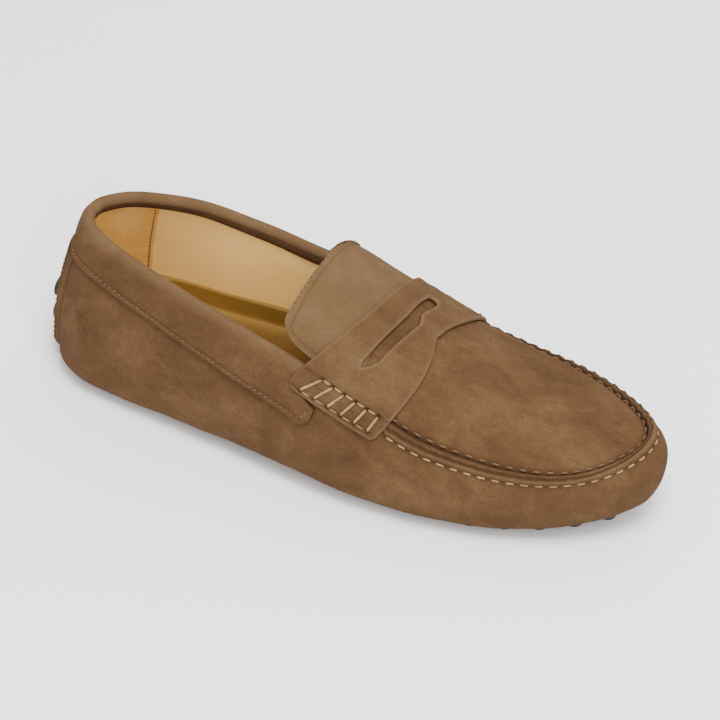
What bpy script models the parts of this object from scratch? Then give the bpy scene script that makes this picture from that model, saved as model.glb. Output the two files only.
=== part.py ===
"""Driving moccasin, right shoe, standing empty on its rubber studs.

Metres, +Z up. +X runs to the toe, +Y to the inner side of the foot, and the
origin is the middle of the round heel stud, on the floor.
"""
import math

import bmesh
import bpy
import numpy as np

# Driving sizes, in metres
LENGTH = 0.282            # heel back to toe tip
BALL_WIDTH = 0.096        # widest part of the upper
HEEL_HEIGHT = 0.075       # top edge at the heel, above the floor
INSTEP_HEIGHT = 0.0725    # crown of the plug under the strap
ARCH_RISE = 0.0014        # lift of the underside at the waist
TOE_SPRING = 0.0095       # lift of the underside at the toe

# Materials and fits
WALL = 0.0017             # suede of the wrap, plug and underside panel
GAP = 0.0003              # clearance between pieces that touch
STUD_HEIGHT = 0.0045      # studs below the suede
PLATE = 0.002             # rubber web between the studs
INSOLE_THICK = 0.003
INSOLE_INSET = 0.0004
WEB_INSET = 0.0012        # from the start of the roll to the edge of the web
SEAM_RIDGE = 0.0016       # how far the hand sewn seam stands up
SEAM_WIDTH = 0.0030
SEAM_FOOT = 0.0041        # foot of the ridge, down the wrap from its top edge
RIDGE_CLEAR = 0.0012      # from the front of the strap to the start of the ridge
RIDGE_RUN = 0.0080        # over which the ridge rises

# Studs
BALL_STUD = 0.0205        # largest stud under the ball
HEEL_STUD_AT = 0.1383     # its middle, share of the length from the heel
HEEL_STUD = 0.0245        # round stud under the heel
REAR_STUD = 0.0120
REAR_STUD_AT = 0.058      # share of the length
REAR_STUD_SIDE = 0.010    # share of the ball width
RIM_STUD = 0.0113         # studs of the outer ring
RIM_STUDS = 37
RIM_START = 0.46          # angle from the heel at which the ring of studs starts
STUD_TAPER = 0.94         # foot of a stud against its root
STUD_ROOT = 0.55          # depth of a stud's root in the web, share of the web

# Collar band, strap, tongue, heel patch
BAND_THICK = 0.0016
BAND_HEEL_DEPTH = 0.0165
BAND_SIDE_DEPTH = 0.0215
BAND_INSIDE = 0.0055      # how far the rolled rim turns down inside
BAND_FRONT = 0.463        # front ends of the band, share of the length
BAND_REACH = 0.0088       # how far its lower half runs on under the strap's end
BAND_CORNER = 0.0085      # radius of the lower front corner
BAND_STEP = 0.0020        # height over which the band widens to its lower half
BAND_EVEN = 0.5           # radians from the heel's middle with the depth of the heel
BAND_FULL = 1.5           # radians from there with the depth of the sides
RIM_RISE = 0.0026         # rolled rim above the edge of the wrap
STRAP_THICK = 0.0020
STRAP_CLEARANCE = 0.0006  # over the crease where plug and wrap meet
STRAP_ROLL = 0.0013       # extra thickness of the sewn strap ends
STRAP_END = 0.0068        # strap end below the seam
PLUG_REAR = 0.505         # rear edge of the plug, share of the length
TONGUE_THICK = 0.0018
TONGUE_TOP = 0.433        # top edge of the tongue, share of the length
TONGUE_SLANT = 0.0055     # top edge runs forward to the inner side
TONGUE_INSET = 0.0060     # from the top edge of the wrap to the side of the tongue
TONGUE_TAPER = 0.0040     # how much it narrows to its top, each side
TONGUE_CORNER = 0.0085    # radius of its top corners
PATCH_THICK = 0.0014
PATCH_HALF_WIDTH = 0.0135
PATCH_DEPTH = 0.052
PATCH_FLARE = 0.15        # how much wider the patch is at its foot
HEEL_WEB = 0.0008
HEEL_WEB_INSET = 0.0015   # from the edge of the patch to the edge of the web
HEEL_BACK_STUD = 0.0095
HEEL_BACK_PROUD = 0.0025
HEEL_BACK_STUDS = (0.0325, 0.0452)   # from the top of the patch to each stud

# Colours
SUEDE = (0.250, 0.145, 0.080)
RUBBER = (0.026, 0.028, 0.032)
LEATHER = (0.280, 0.150, 0.055)

# Resolution
RIBS = 60
FOOT_ROWS = 32            # rows across the foot in the panel, web and insole
PLUG_COLUMNS = 13
STRAP_COLUMNS = 19
WALL_STEPS = 12           # along a rib of the wrap
HEEL_ROWS = 12            # down the patch
HEEL_COLUMNS = 7
STUD_SIDES = 8
BIG_STUD_SIDES = 12

# Closed rings of the upper, heel to toe. Columns: share of length, outer
# half width and inner half width as shares of the ball width, and height as
# a share of the heel height plus a share of the instep height.
WIDEST_RING = (
    (0.007, 0.000, 0.000, 0.135, 0.000),
    (0.023, 0.205, 0.185, 0.135, 0.000),
    (0.068, 0.332, 0.302, 0.160, 0.000),
    (0.148, 0.392, 0.350, 0.200, 0.000),
    (0.253, 0.430, 0.356, 0.230, 0.000),
    (0.374, 0.480, 0.362, 0.110, 0.100),
    (0.505, 0.542, 0.395, 0.000, 0.205),
    (0.637, 0.556, 0.461, 0.000, 0.225),
    (0.758, 0.515, 0.469, 0.000, 0.262),
    (0.863, 0.410, 0.401, 0.000, 0.296),
    (0.943, 0.270, 0.280, 0.000, 0.345),
    (0.986, 0.135, 0.145, 0.000, 0.386),
    (1.000, 0.000, 0.000, 0.000, 0.400),
)
TOP_RING = (
    (0.043, 0.000, 0.000, 1.000, 0.000),
    (0.052, 0.085, 0.088, 1.000, 0.000),
    (0.080, 0.160, 0.165, 1.000, 0.000),
    (0.127, 0.226, 0.234, 0.990, 0.000),
    (0.181, 0.281, 0.281, 0.973, 0.000),
    (0.266, 0.323, 0.328, 0.907, 0.000),
    (0.369, 0.354, 0.359, 0.600, 0.221),
    (0.454, 0.382, 0.375, 0.300, 0.455),
    (0.489, 0.409, 0.385, 0.200, 0.524),
    (0.595, 0.461, 0.403, 0.000, 0.621),
    (0.649, 0.474, 0.409, 0.000, 0.559),
    (0.734, 0.464, 0.401, 0.000, 0.510),
    (0.816, 0.427, 0.370, 0.000, 0.497),
    (0.865, 0.375, 0.323, 0.000, 0.497),
    (0.912, 0.286, 0.245, 0.000, 0.510),
    (0.947, 0.172, 0.151, 0.000, 0.538),
    (0.969, 0.000, 0.000, 0.000, 0.566),
)
# Columns: share of length, outer and inner half width as shares of the ball
# width. The roll ring is where the flat underside starts to turn up, the
# panel ring is the seam between the wrap and the panel under the foot.
ROLL_RING = (
    (0.015, 0.000, 0.000),
    (0.030, 0.135, 0.130),
    (0.068, 0.266, 0.255),
    (0.117, 0.322, 0.298),
    (0.169, 0.345, 0.296),
    (0.276, 0.366, 0.276),
    (0.378, 0.402, 0.266),
    (0.482, 0.450, 0.306),
    (0.591, 0.488, 0.370),
    (0.648, 0.490, 0.391),
    (0.705, 0.474, 0.393),
    (0.762, 0.443, 0.375),
    (0.819, 0.395, 0.349),
    (0.865, 0.342, 0.318),
    (0.915, 0.258, 0.262),
    (0.950, 0.172, 0.180),
    (0.972, 0.094, 0.098),
    (0.982, 0.000, 0.000),
)
PANEL_RING = (
    (0.025, 0.000, 0.000),
    (0.034, 0.066, 0.068),
    (0.068, 0.116, 0.118),
    (0.117, 0.156, 0.148),
    (0.167, 0.158, 0.146),
    (0.216, 0.176, 0.120),
    (0.273, 0.190, 0.104),
    (0.322, 0.206, 0.089),
    (0.376, 0.235, 0.082),
    (0.440, 0.262, 0.097),
    (0.514, 0.299, 0.138),
    (0.595, 0.324, 0.195),
    (0.691, 0.315, 0.213),
    (0.776, 0.271, 0.191),
    (0.858, 0.196, 0.161),
    (0.904, 0.138, 0.128),
    (0.927, 0.072, 0.072),
    (0.936, 0.000, 0.000),
)
# Crown of the instep. Columns: share of length, sideways place of the crown
# as a share of the ball width, height as shares of heel and instep height.
CROWN = (
    (0.404, 0.070, 0.400, 0.800),
    (0.458, 0.060, 0.300, 0.840),
    (0.507, 0.040, 0.150, 0.912),
    (0.550, 0.020, 0.000, 1.000),
    (0.592, 0.008, 0.000, 0.924),
    (0.642, -0.010, 0.000, 0.834),
    (0.691, -0.020, 0.000, 0.766),
    (0.741, -0.025, 0.000, 0.710),
    (0.812, -0.022, 0.000, 0.641),
    (0.883, -0.015, 0.000, 0.596),
    (0.936, -0.005, 0.000, 0.578),
    (0.969, 0.000, 0.000, 0.566),
)
CROWN_SQUARENESS = 0.58   # exponent of the arch over the instep
# Lift of the underside. Columns: share of length, share of the arch rise,
# share of the toe spring.
UNDERSIDE = (
    (0.000, 0.0, 0.00),
    (0.253, 0.0, 0.00),
    (0.384, 0.8, 0.00),
    (0.475, 1.0, 0.00),
    (0.565, 0.0, 0.00),
    (0.738, 0.0, 0.00),
    (0.819, 0.0, 0.15),
    (0.889, 0.0, 0.40),
    (0.950, 0.0, 0.67),
    (1.000, 0.0, 1.00),
)
# Lean of the side wall at the top edge, in degrees from upright. Columns:
# share of length, lean.
WALL_LEAN = ((0.0, 34.0), (0.35, 45.0), (0.55, 50.0), (0.70, 68.0), (1.0, 74.0))
# Studs under the panel, in pairs. Columns: share of length, inner and outer
# place as shares of the ball width, diameter as a share of the ball stud.
PANEL_STUDS = (
    (0.216, 0.037, -0.104, 0.49),
    (0.273, 0.024, -0.121, 0.50),
    (0.326, 0.007, -0.134, 0.50),
    (0.383, -0.003, -0.158, 0.55),
    (0.445, -0.004, -0.173, 0.65),
    (0.513, 0.023, -0.192, 0.79),
    (0.599, 0.058, -0.193, 1.00),
    (0.691, 0.081, -0.185, 0.97),
    (0.778, 0.076, -0.144, 0.785),
    (0.853, 0.075, -0.113, 0.51),
    (0.908, 0.061, -0.066, 0.38),
)
# Studs of the outer ring. Columns: share of length, diameter as a share of
# the rim stud.
RIM_STUD_SIZE = ((0.0, 0.94), (0.35, 0.90), (0.5, 1.0), (0.62, 1.02), (0.75, 0.93),
                 (0.88, 0.84), (1.0, 0.70))
# Strap outline. Columns: place across from -1 at the outer end to 1 at the
# inner end, rear edge and front edge as shares of the length.
STRAP_OUTLINE = (
    (-1.00, 0.479, 0.608),
    (-0.80, 0.469, 0.619),
    (-0.40, 0.505, 0.633),
    (-0.15, 0.526, 0.631),
    (0.00, 0.534, 0.623),
    (0.15, 0.540, 0.631),
    (0.40, 0.546, 0.647),
    (0.80, 0.536, 0.657),
    (1.00, 0.530, 0.655),
)
# Slot in the strap, with the point of its front edge. Columns as above.
SLOT_OUTLINE = (
    (-0.50, 0.546, 0.555),
    (-0.44, 0.550, 0.567),
    (-0.13, 0.568, 0.587),
    (0.00, 0.574, 0.594),
    (0.10, 0.576, 0.589),
    (0.22, 0.579, 0.597),
    (0.32, 0.583, 0.598),
)
# Collar band. Columns: share of the band's depth, then shares of the rim rise,
# of the turn down inside, of the outer stand-off and of the inner stand-off.
BAND_FACE = (
    (1.0, 0.00, 0.0, 1.00, 0.00),
    (0.96, 0.00, 0.0, 1.00, 0.00),
    (0.85, 0.00, 0.0, 1.00, 0.00),
    (0.68, 0.00, 0.0, 1.00, 0.00),
    (0.51, 0.00, 0.0, 1.00, 0.00),
    (0.41, 0.00, 0.0, 1.00, 0.00),
    (0.1, 0.00, 0.0, 1.00, 0.00),
    (0.0, 0.15, 0.0, 1.15, 0.00),
    (0.0, 0.80, 0.0, 0.60, 0.00),
    (0.0, 1.00, 0.0, 0.00, 0.14),
    (0.0, 0.75, 0.0, 0.00, 0.75),
    (0.0, 0.12, 0.0, 0.00, 1.05),
    (0.0, 0.00, 1.0, 0.00, 1.00),
)
# The side next to the wrap, with the clearance in place of the rim rise.
BAND_BACK = (
    (1.0, 0.0, 0.0, 1.0, 0.00),
    (0.96, 0.0, 0.0, 1.0, 0.00),
    (0.85, 0.0, 0.0, 1.0, 0.00),
    (0.68, 0.0, 0.0, 1.0, 0.00),
    (0.51, 0.0, 0.0, 1.0, 0.00),
    (0.41, 0.0, 0.0, 1.0, 0.00),
    (0.1, 0.0, 0.0, 1.0, 0.00),
    (0.0, 1.0, 0.0, 1.0, 0.00),
    (0.0, 1.1, 0.0, 0.2, 0.00),
    (0.0, 1.2, 0.0, 0.0, 0.42),
    (0.0, 1.1, 0.0, 0.0, 0.91),
    (0.0, 0.2, 0.0, 0.0, 1.00),
    (0.0, 0.0, 1.0, 0.0, 1.00),
)
SEAM_AT = 0.80            # where the strap crosses the seam, on the scale of the strap's tables
ROLL_AT = 0.70            # where its sewn roll starts, on the same scale


def table(rows, column, at):
    """Smooth curve through one column of a table, by cubic Hermite pieces."""
    xs = np.array([row[0] for row in rows])
    ys = np.array([row[column] for row in rows])
    return hermite(xs, ys, np.asarray(at, float))


def hermite(xs, ys, at):
    """Cubic through (xs, ys) whose slopes are the mean of the chords beside."""
    step = np.diff(xs)
    chord = np.diff(ys) / step
    slope = np.empty_like(ys)
    slope[1:-1] = (chord[:-1] * step[1:] + chord[1:] * step[:-1]) / (step[:-1] + step[1:])
    slope[0] = chord[0]
    slope[-1] = chord[-1]
    at = np.clip(at, xs[0], xs[-1])
    i = np.clip(np.searchsorted(xs, at) - 1, 0, len(step) - 1)
    h = step[i]
    t = (at - xs[i]) / h
    a = (1 + 2 * t) * (1 - t) ** 2 * ys[i] + t * (1 - t) ** 2 * h * slope[i]
    b = t ** 2 * (3 - 2 * t) * ys[i + 1] + t ** 2 * (t - 1) * h * slope[i + 1]
    return a + b


def share_of(x):
    """Share of the length at a place along X."""
    return x / LENGTH + HEEL_STUD_AT


def place_of(share):
    """Place along X at a share of the length."""
    return (share - HEEL_STUD_AT) * LENGTH


def blend(low, high, value):
    """Smooth step from 0 at low to 1 at high."""
    t = np.clip((value - low) / (high - low), 0.0, 1.0)
    return t * t * (3 - 2 * t)


def ring(rows, angle):
    """Points of a closed ring. Angle 0 is the heel, pi the toe, and the
    outer side of the foot comes first."""
    shares = np.array([row[0] for row in rows])
    first, last = shares[0], shares[-1]
    knots = np.arccos(np.clip(1 - 2 * (shares - first) / (last - first), -1, 1))
    outer = -np.array([row[1] for row in rows])
    inner = np.array([row[2] for row in rows])
    turn = np.concatenate([knots, 2 * math.pi - knots[-2:0:-1]])
    side = np.concatenate([outer, inner[-2:0:-1]])
    turn = np.concatenate([turn - 2 * math.pi, turn, turn + 2 * math.pi])
    side = np.tile(side, 3)
    angle = np.asarray(angle, float)
    wrapped = np.mod(angle, 2 * math.pi)
    x = place_of(first + (last - first) * (1 - np.cos(wrapped)) / 2)
    y = hermite(turn, side, wrapped) * BALL_WIDTH
    if len(rows[0]) > 3:
        z = table(rows, 3, share_of(x)) * HEEL_HEIGHT + table(rows, 4, share_of(x)) * INSTEP_HEIGHT
    else:
        z = underside(x)
    return np.stack([x, y, z], -1)


def floor_lift(x):
    """Height of the stud feet above the floor."""
    share = share_of(x)
    arch = np.interp(share, [r[0] for r in UNDERSIDE], [r[1] for r in UNDERSIDE])
    toe = table(UNDERSIDE, 2, share)
    return arch * ARCH_RISE + np.maximum(toe, 0.0) * TOE_SPRING


def underside(x):
    """Height of the outer face of the suede under the foot."""
    return STUD_HEIGHT + floor_lift(x)


def ring_angle(rows, x):
    """Angle at which a ring passes a place along X, on its outer side."""
    first, last = rows[0][0], rows[-1][0]
    share = (share_of(x) - first) / (last - first)
    return np.arccos(np.clip(1 - 2 * share, -1, 1))


def wall(angle, steps=24):
    """Ribs of the wrap from the start of the roll up to the top edge: a
    quarter ellipse out to the widest line, then a leaning arc."""
    angle = np.atleast_1d(angle)
    foot, wide, top = (ring(r, angle)[:, None, :] for r in (ROLL_RING, WIDEST_RING, TOP_RING))
    phi = np.linspace(0, math.pi / 2, steps // 2 + 1)[None, :]
    roll = np.empty((len(angle), phi.shape[1], 3))
    roll[..., :2] = foot[..., :2] + (wide - foot)[..., :2] * np.sin(phi)[..., None]
    roll[..., 2] = foot[..., 2] + (wide - foot)[..., 2] * (1 - np.cos(phi))
    lean = np.radians(np.interp(share_of(wide[:, 0, 0]), *zip(*WALL_LEAN)))[:, None]
    psi = np.linspace(0, 1, steps // 2 + 1)[None, 1:] * lean
    side = np.empty((len(angle), psi.shape[1], 3))
    inward = (1 - np.cos(psi)) / (1 - np.cos(lean))
    upward = np.sin(psi) / np.sin(lean)
    side[..., :2] = wide[..., :2] + (top - wide)[..., :2] * inward[..., None]
    side[..., 2] = wide[..., 2] + (top - wide)[..., 2] * upward
    return np.concatenate([roll, side], 1)


def wall_point(angle, drop):
    """Outer face of the wrap, a distance down its ribs from the top edge.
    A drop below 0 carries on past the edge, along the rib."""
    shape = np.broadcast(angle, drop).shape
    angle, drop = (np.broadcast_to(v, shape).ravel() for v in (angle, drop))
    ribs = wall(angle)[:, ::-1]
    gaps = np.linalg.norm(np.diff(ribs, axis=1), axis=2)
    down = np.concatenate([np.zeros((len(angle), 1)), np.cumsum(gaps, 1)], 1)
    points = np.empty((len(angle), 3))
    for i in range(len(angle)):
        for axis in range(3):
            points[i, axis] = np.interp(drop[i], down[i], ribs[i, :, axis])
    up = ribs[:, 0] - ribs[:, 1]
    up /= np.linalg.norm(up, axis=1)[:, None]
    points += up * np.maximum(-drop, 0)[:, None]
    return points.reshape(shape + (3,))


def wall_normal(angle, drop):
    """Outward normal of the wrap at the same places as wall_point."""
    turn, slide = 0.01, 0.0004
    drop = np.maximum(drop, slide)
    around = wall_point(angle + turn, drop) - wall_point(angle - turn, drop)
    down = wall_point(angle, drop + slide) - wall_point(angle, drop - slide)
    return unit(np.cross(down, around))


def off_wall(angle, drop, out):
    """Point standing off the outer face of the wrap."""
    out = np.asarray(out, float)[..., None]
    return wall_point(angle, drop) + wall_normal(angle, drop) * out


def unit(vectors):
    """Vectors brought to length 1."""
    return vectors / np.maximum(np.linalg.norm(vectors, axis=-1, keepdims=True), 1e-12)


def top_edges(xs):
    """Outer and inner points of the top edge at places along X."""
    angle = ring_angle(TOP_RING, xs)
    return ring(TOP_RING, angle), ring(TOP_RING, 2 * math.pi - angle)


def crown_rows(outer, inner, columns, inset=0.0):
    """Rows over the instep, from points on its outer edge over the crown to
    points on its inner edge, evenly spaced along each row and starting an
    inset away from the edge."""
    rows = np.empty((len(outer), columns, 3))
    tau = np.linspace(-math.pi / 2, math.pi / 2, 161)
    t = np.sin(tau)
    arch = (1 - t ** 2) ** CROWN_SQUARENESS
    share = share_of((outer[:, 0] + inner[:, 0]) / 2)
    middle = table(CROWN, 1, share) * BALL_WIDTH
    height = table(CROWN, 2, share) * HEEL_HEIGHT + table(CROWN, 3, share) * INSTEP_HEIGHT
    inset = np.broadcast_to(inset, (len(outer),))
    for i in range(len(outer)):
        centre = np.clip(middle[i], outer[i, 1], inner[i, 1])
        reach = np.where(t < 0, centre - outer[i, 1], inner[i, 1] - centre)
        x, base = (outer[i, k] + (inner[i, k] - outer[i, k]) * (1 + t) / 2 for k in (0, 2))
        y = centre + t * reach
        z = base + np.maximum(height[i] - base, 0) * arch
        run = np.concatenate([[0], np.cumsum(np.hypot(np.diff(y), np.diff(z)))])
        edge = min(inset[i], run[-1] * 0.49)
        at = np.linspace(edge, run[-1] - edge, columns)
        for axis, values in enumerate((x, y, z)):
            rows[i, :, axis] = np.interp(at, run, values)
    return rows


def grid_normals(grid, closed=False):
    """Normals of a grid of points, pointing out or up for a grid whose rows
    run heel to toe and whose columns run from the outer to the inner side."""
    if closed:
        along = np.roll(grid, -1, 0) - np.roll(grid, 1, 0)
    else:
        along = np.gradient(grid, axis=0)
    across = np.gradient(grid, axis=1)
    return unit(np.cross(along, across))


def slab(name, top, bottom, closed=False):
    """Closed solid between two grids of the same size. A closed grid joins
    its last row to its first."""
    rows, columns = top.shape[:2]
    points = np.concatenate([top.reshape(-1, 3), bottom.reshape(-1, 3)])
    under = rows * columns
    faces = []
    turns = rows if closed else rows - 1
    for i in range(turns):
        j = (i + 1) % rows
        for k in range(columns - 1):
            a, b = i * columns + k, j * columns + k
            faces.append((a, b, b + 1, a + 1))
            faces.append((under + a, under + a + 1, under + b + 1, under + b))
        a, b = i * columns, j * columns
        faces.append((a, under + a, under + b, b))
        a, b = a + columns - 1, b + columns - 1
        faces.append((a, b, under + b, under + a))
    if not closed:
        last = (rows - 1) * columns
        for k in range(columns - 1):
            faces.append((k, k + 1, under + k + 1, under + k))
            faces.append((last + k, under + last + k, under + last + k + 1, last + k + 1))
    return make_object(name, points, faces)


def make_object(name, points, faces):
    """Mesh object with doubled points merged and faces pointing out."""
    mesh = bpy.data.meshes.new(name)
    mesh.from_pydata([tuple(p) for p in points], [], faces)
    work = bmesh.new()
    work.from_mesh(mesh)
    bmesh.ops.remove_doubles(work, verts=work.verts, dist=1e-6)
    bmesh.ops.dissolve_degenerate(work, edges=work.edges, dist=1e-6)
    bmesh.ops.recalc_face_normals(work, faces=work.faces)
    work.to_mesh(mesh)
    work.free()
    mesh.shade_smooth()
    mesh.set_sharp_from_angle(angle=math.radians(40))
    piece = bpy.data.objects.new(name, mesh)
    return piece


def studs_at():
    """Centre, diameter and number of sides of each stud under the shoe, as
    two lists: those in the panel and those in the wrap."""
    panel = [(place_of(REAR_STUD_AT), REAR_STUD_SIDE * BALL_WIDTH, REAR_STUD, STUD_SIDES),
             (0.0, 0.0, HEEL_STUD, BIG_STUD_SIDES)]
    for share, inner, outer, size in PANEL_STUDS:
        sides = BIG_STUD_SIDES if size > 0.7 else STUD_SIDES
        for side in (inner, outer):
            panel.append((place_of(share), side * BALL_WIDTH, size * BALL_STUD, sides))
    angle = np.linspace(0, 2 * math.pi, 721)
    line = (ring(PANEL_RING, angle)[:, :2] + ring(ROLL_RING, angle)[:, :2]) / 2
    keep = (angle > RIM_START) & (angle < 2 * math.pi - RIM_START)
    line = line[keep]
    run = np.concatenate([[0], np.cumsum(np.linalg.norm(np.diff(line, axis=0), axis=1))])
    wrap = []
    for at in np.linspace(0, run[-1], RIM_STUDS):
        x, y = np.interp(at, run, line[:, 0]), np.interp(at, run, line[:, 1])
        size = np.interp(share_of(x), *zip(*RIM_STUD_SIZE)) * RIM_STUD
        wrap.append((float(x), float(y), float(size), STUD_SIDES))
    return panel, wrap


def prisms(name, studs, grow, low, high, taper=1.0):
    """One mesh of many upright round prisms. Low and high are functions of
    a stud's place along X, and the lower end is narrower by the taper."""
    points, faces = [], []
    for x, y, size, sides in studs:
        first = len(points)
        turn = np.arange(sides) * 2 * math.pi / sides
        for z, scale in ((low(x), taper), (high(x), 1.0)):
            radius = (size / 2 + grow) * scale
            for angle in turn:
                points.append((x + radius * math.cos(angle), y + radius * math.sin(angle), z))
        for k in range(sides):
            j = (k + 1) % sides
            faces.append((first + k, first + j, first + sides + j, first + sides + k))
        faces.append(tuple(first + k for k in range(sides))[::-1])
        faces.append(tuple(first + sides + k for k in range(sides)))
    return make_object(name, points, faces)


def combine(piece, other, operation):
    """Exact Boolean of a piece with another object."""
    change = piece.modifiers.new(operation.title(), 'BOOLEAN')
    change.operation = operation
    change.object = other
    CUTTERS.objects.link(other)
    other.hide_render = True
    other.display_type = 'WIRE'


def ridge(x, y):
    """Height of the sewn ridge, which rises just in front of the strap."""
    outer, inner = (place_of(table(STRAP_OUTLINE, 2, side)) for side in (-SEAM_AT, SEAM_AT))
    start = np.where(y < 0, outer, inner) + RIDGE_CLEAR
    return SEAM_RIDGE * blend(0.0, RIDGE_RUN, x - start)


def build_upper(wrap_studs):
    """Wrap: one wall from the panel seam under the foot, out over the roll
    and up the sides to the top edge, with the seam ridge round the plug."""
    angle = np.arange(RIBS) * 2 * math.pi / RIBS
    ribs = wall(angle, steps=WALL_STEPS)
    seam = ring(PANEL_RING, angle)
    toward = ribs[:, 0] - seam
    flat = toward[:, :2] / np.linalg.norm(toward[:, :2], axis=1)[:, None]
    edge = seam.copy()
    edge[:, :2] += flat * GAP / 2
    middle = seam + toward / 2
    for place in (edge, middle):
        place[:, 2] = underside(place[:, 0])
    flank = [ribs[:, k] for k in range(0, WALL_STEPS, 2)]
    step = wall_point(angle, np.full(RIBS, SEAM_FOOT))
    near_top = wall_point(angle, np.full(RIBS, SEAM_WIDTH))
    columns = [edge, middle] + flank + [step, near_top, ribs[:, -1]]
    skin = np.stack(columns, 1)
    normal = grid_normals(skin, closed=True)
    normal[:, 0] = (0, 0, -1)
    inside = skin - normal * WALL
    raised = ridge(skin[:, -1, 0], skin[:, -1, 1])
    outside = skin.copy()
    for column in (-2, -1):
        outside[:, column] += normal[:, column] * raised[:, None]
    upper = slab("upper", outside, inside, closed=True)
    cutter = prisms("wrap_stud_holes", wrap_studs, GAP, lambda x: -WALL,
                    lambda x: underside(x) + WALL + PLATE)
    combine(upper, cutter, 'DIFFERENCE')
    return upper


def inside_ring(rows, inset):
    """Dense line that runs an inset inside a ring, heel to toe to heel."""
    angle = np.linspace(0, 2 * math.pi, 721)[:-1]
    line = ring(rows, angle)[:, :2]
    along = unit(np.roll(line, -1, 0) - np.roll(line, 1, 0))
    return line + np.stack([-along[:, 1], along[:, 0]], -1) * inset


def foot_rows(rows, inset, count, columns):
    """Grid inside a ring, in rows across the foot from heel to toe."""
    line = inside_ring(rows, inset)
    half = len(line) // 2
    turn = np.linspace(0, math.pi, count)
    x = line[0, 0] + (line[half, 0] - line[0, 0]) * (1 - np.cos(turn)) / 2
    low = np.interp(x, line[:half + 1, 0], line[:half + 1, 1])
    inner = np.concatenate([line[half:], line[:1]])[::-1]
    high = np.interp(x, inner[:, 0], inner[:, 1])
    share = np.linspace(0, 1, columns)[None, :]
    y = low[:, None] * (1 - share) + high[:, None] * share
    return np.stack([np.broadcast_to(x[:, None], y.shape), y, underside(x)[:, None] + y * 0], -1)


def lifted(grid, height):
    """Copy of a grid moved up."""
    return grid + np.array([0.0, 0.0, height])


def build_panel(panel_studs):
    """Suede panel under the foot, sewn inside the wrap."""
    rows = foot_rows(PANEL_RING, GAP / 2, FOOT_ROWS, 3)
    panel = slab("underside_panel", lifted(rows, WALL), rows)
    cutter = prisms("panel_stud_holes", panel_studs, GAP, lambda x: -WALL,
                    lambda x: underside(x) + WALL + PLATE)
    combine(panel, cutter, 'DIFFERENCE')
    return panel


def build_rubber(studs):
    """Rubber web inside the wrap, with the studs that come through it."""
    rows = foot_rows(ROLL_RING, WEB_INSET, FOOT_ROWS, 3)
    base = WALL + GAP
    web = slab("rubber_sole", lifted(rows, base + PLATE), lifted(rows, base))
    feet = prisms("stud_bodies", studs, 0.0, floor_lift,
                  lambda x: underside(x) + base + PLATE * STUD_ROOT, STUD_TAPER)
    combine(web, feet, 'UNION')
    return web


def build_insole():
    """Leather sock on the rubber web."""
    rows = foot_rows(ROLL_RING, INSOLE_INSET, FOOT_ROWS, 3)
    base = WALL + GAP + PLATE + GAP
    return slab("insole", lifted(rows, base + INSOLE_THICK), lifted(rows, base))


def build_plug():
    """Plug over the toes and instep, sewn to the wrap along its ridge."""
    rear = ring_angle(TOP_RING, place_of(PLUG_REAR))
    ribs = np.arange(RIBS // 2 + 1) * 2 * math.pi / RIBS
    angle = np.concatenate([[rear], ribs[ribs > rear + 0.3 * ribs[1]]])
    edge = np.full(len(angle), -GAP)
    rows = crown_rows(wall_point(angle, edge), wall_point(2 * math.pi - angle, edge), PLUG_COLUMNS)
    normal = grid_normals(rows)
    normal[:, 0] = wall_normal(angle, edge)
    normal[:, -1] = wall_normal(2 * math.pi - angle, edge)
    normal[-1] = normal[-1, 0]
    top = rows.copy()
    for column in (0, -1):
        top[:, column] += normal[:, column] * ridge(rows[:, column, 0], rows[:, column, 1])[:, None]
    return slab("plug", top, rows - normal * WALL)


def build_tongue():
    """Tongue behind the plug, rising free of the collar."""
    front = place_of(PLUG_REAR) - GAP
    rear = place_of(TONGUE_TOP)
    back = np.sin(np.linspace(math.pi / 2, 0, 12))
    xs = front - (front - rear) * back
    turn = np.clip(1 - (1 - back) * (front - rear) / TONGUE_CORNER, 0, 1)
    corner = TONGUE_CORNER * (1 - np.sqrt(1 - turn ** 2))
    rows = crown_rows(*top_edges(xs), PLUG_COLUMNS, TONGUE_INSET + TONGUE_TAPER * back + corner)
    across = np.linspace(-1, 1, PLUG_COLUMNS)[None, :]
    rows[..., 0] += TONGUE_SLANT * across * back[:, None]
    return slab("tongue", rows, rows - grid_normals(rows) * TONGUE_THICK)


def strap_section(x):
    """Points across the shoe at one place along X: up the outer wall from
    the strap end, over the plug and down the inner wall."""
    angle = ring_angle(TOP_RING, x)
    drops = np.linspace(STRAP_END, 0, 5)[:-1]
    outer = wall_point(np.full(4, angle), drops)
    inner = wall_point(np.full(4, 2 * math.pi - angle), drops[::-1])
    over = crown_rows(*top_edges(np.array([x])), 25)[0]
    places = np.concatenate([np.linspace(-1, -SEAM_AT, 5)[:-1],
                             np.linspace(-SEAM_AT, SEAM_AT, 25),
                             np.linspace(SEAM_AT, 1, 5)[1:]])
    return places, np.concatenate([outer, over, inner])


def strap_surface(across, shares):
    """Points on the wall and plug under the strap."""
    stations = np.linspace(place_of(0.44), place_of(0.68), 20)
    sections = np.stack([strap_section(x)[1] for x in stations])
    places = strap_section(stations[0])[0]
    points = np.empty(across.shape + (3,))
    flat_across, flat_x = across.ravel(), place_of(shares).ravel()
    at = (flat_x - stations[0]) / (stations[1] - stations[0])
    low = np.clip(at.astype(int), 0, len(stations) - 2)
    part = at - low
    for axis in range(3):
        first = np.array([np.interp(p, places, sections[i, :, axis]) for p, i in zip(flat_across, low)])
        second = np.array([np.interp(p, places, sections[i + 1, :, axis]) for p, i in zip(flat_across, low)])
        points[..., axis] = (first * (1 - part) + second * part).reshape(across.shape)
    return points


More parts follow.
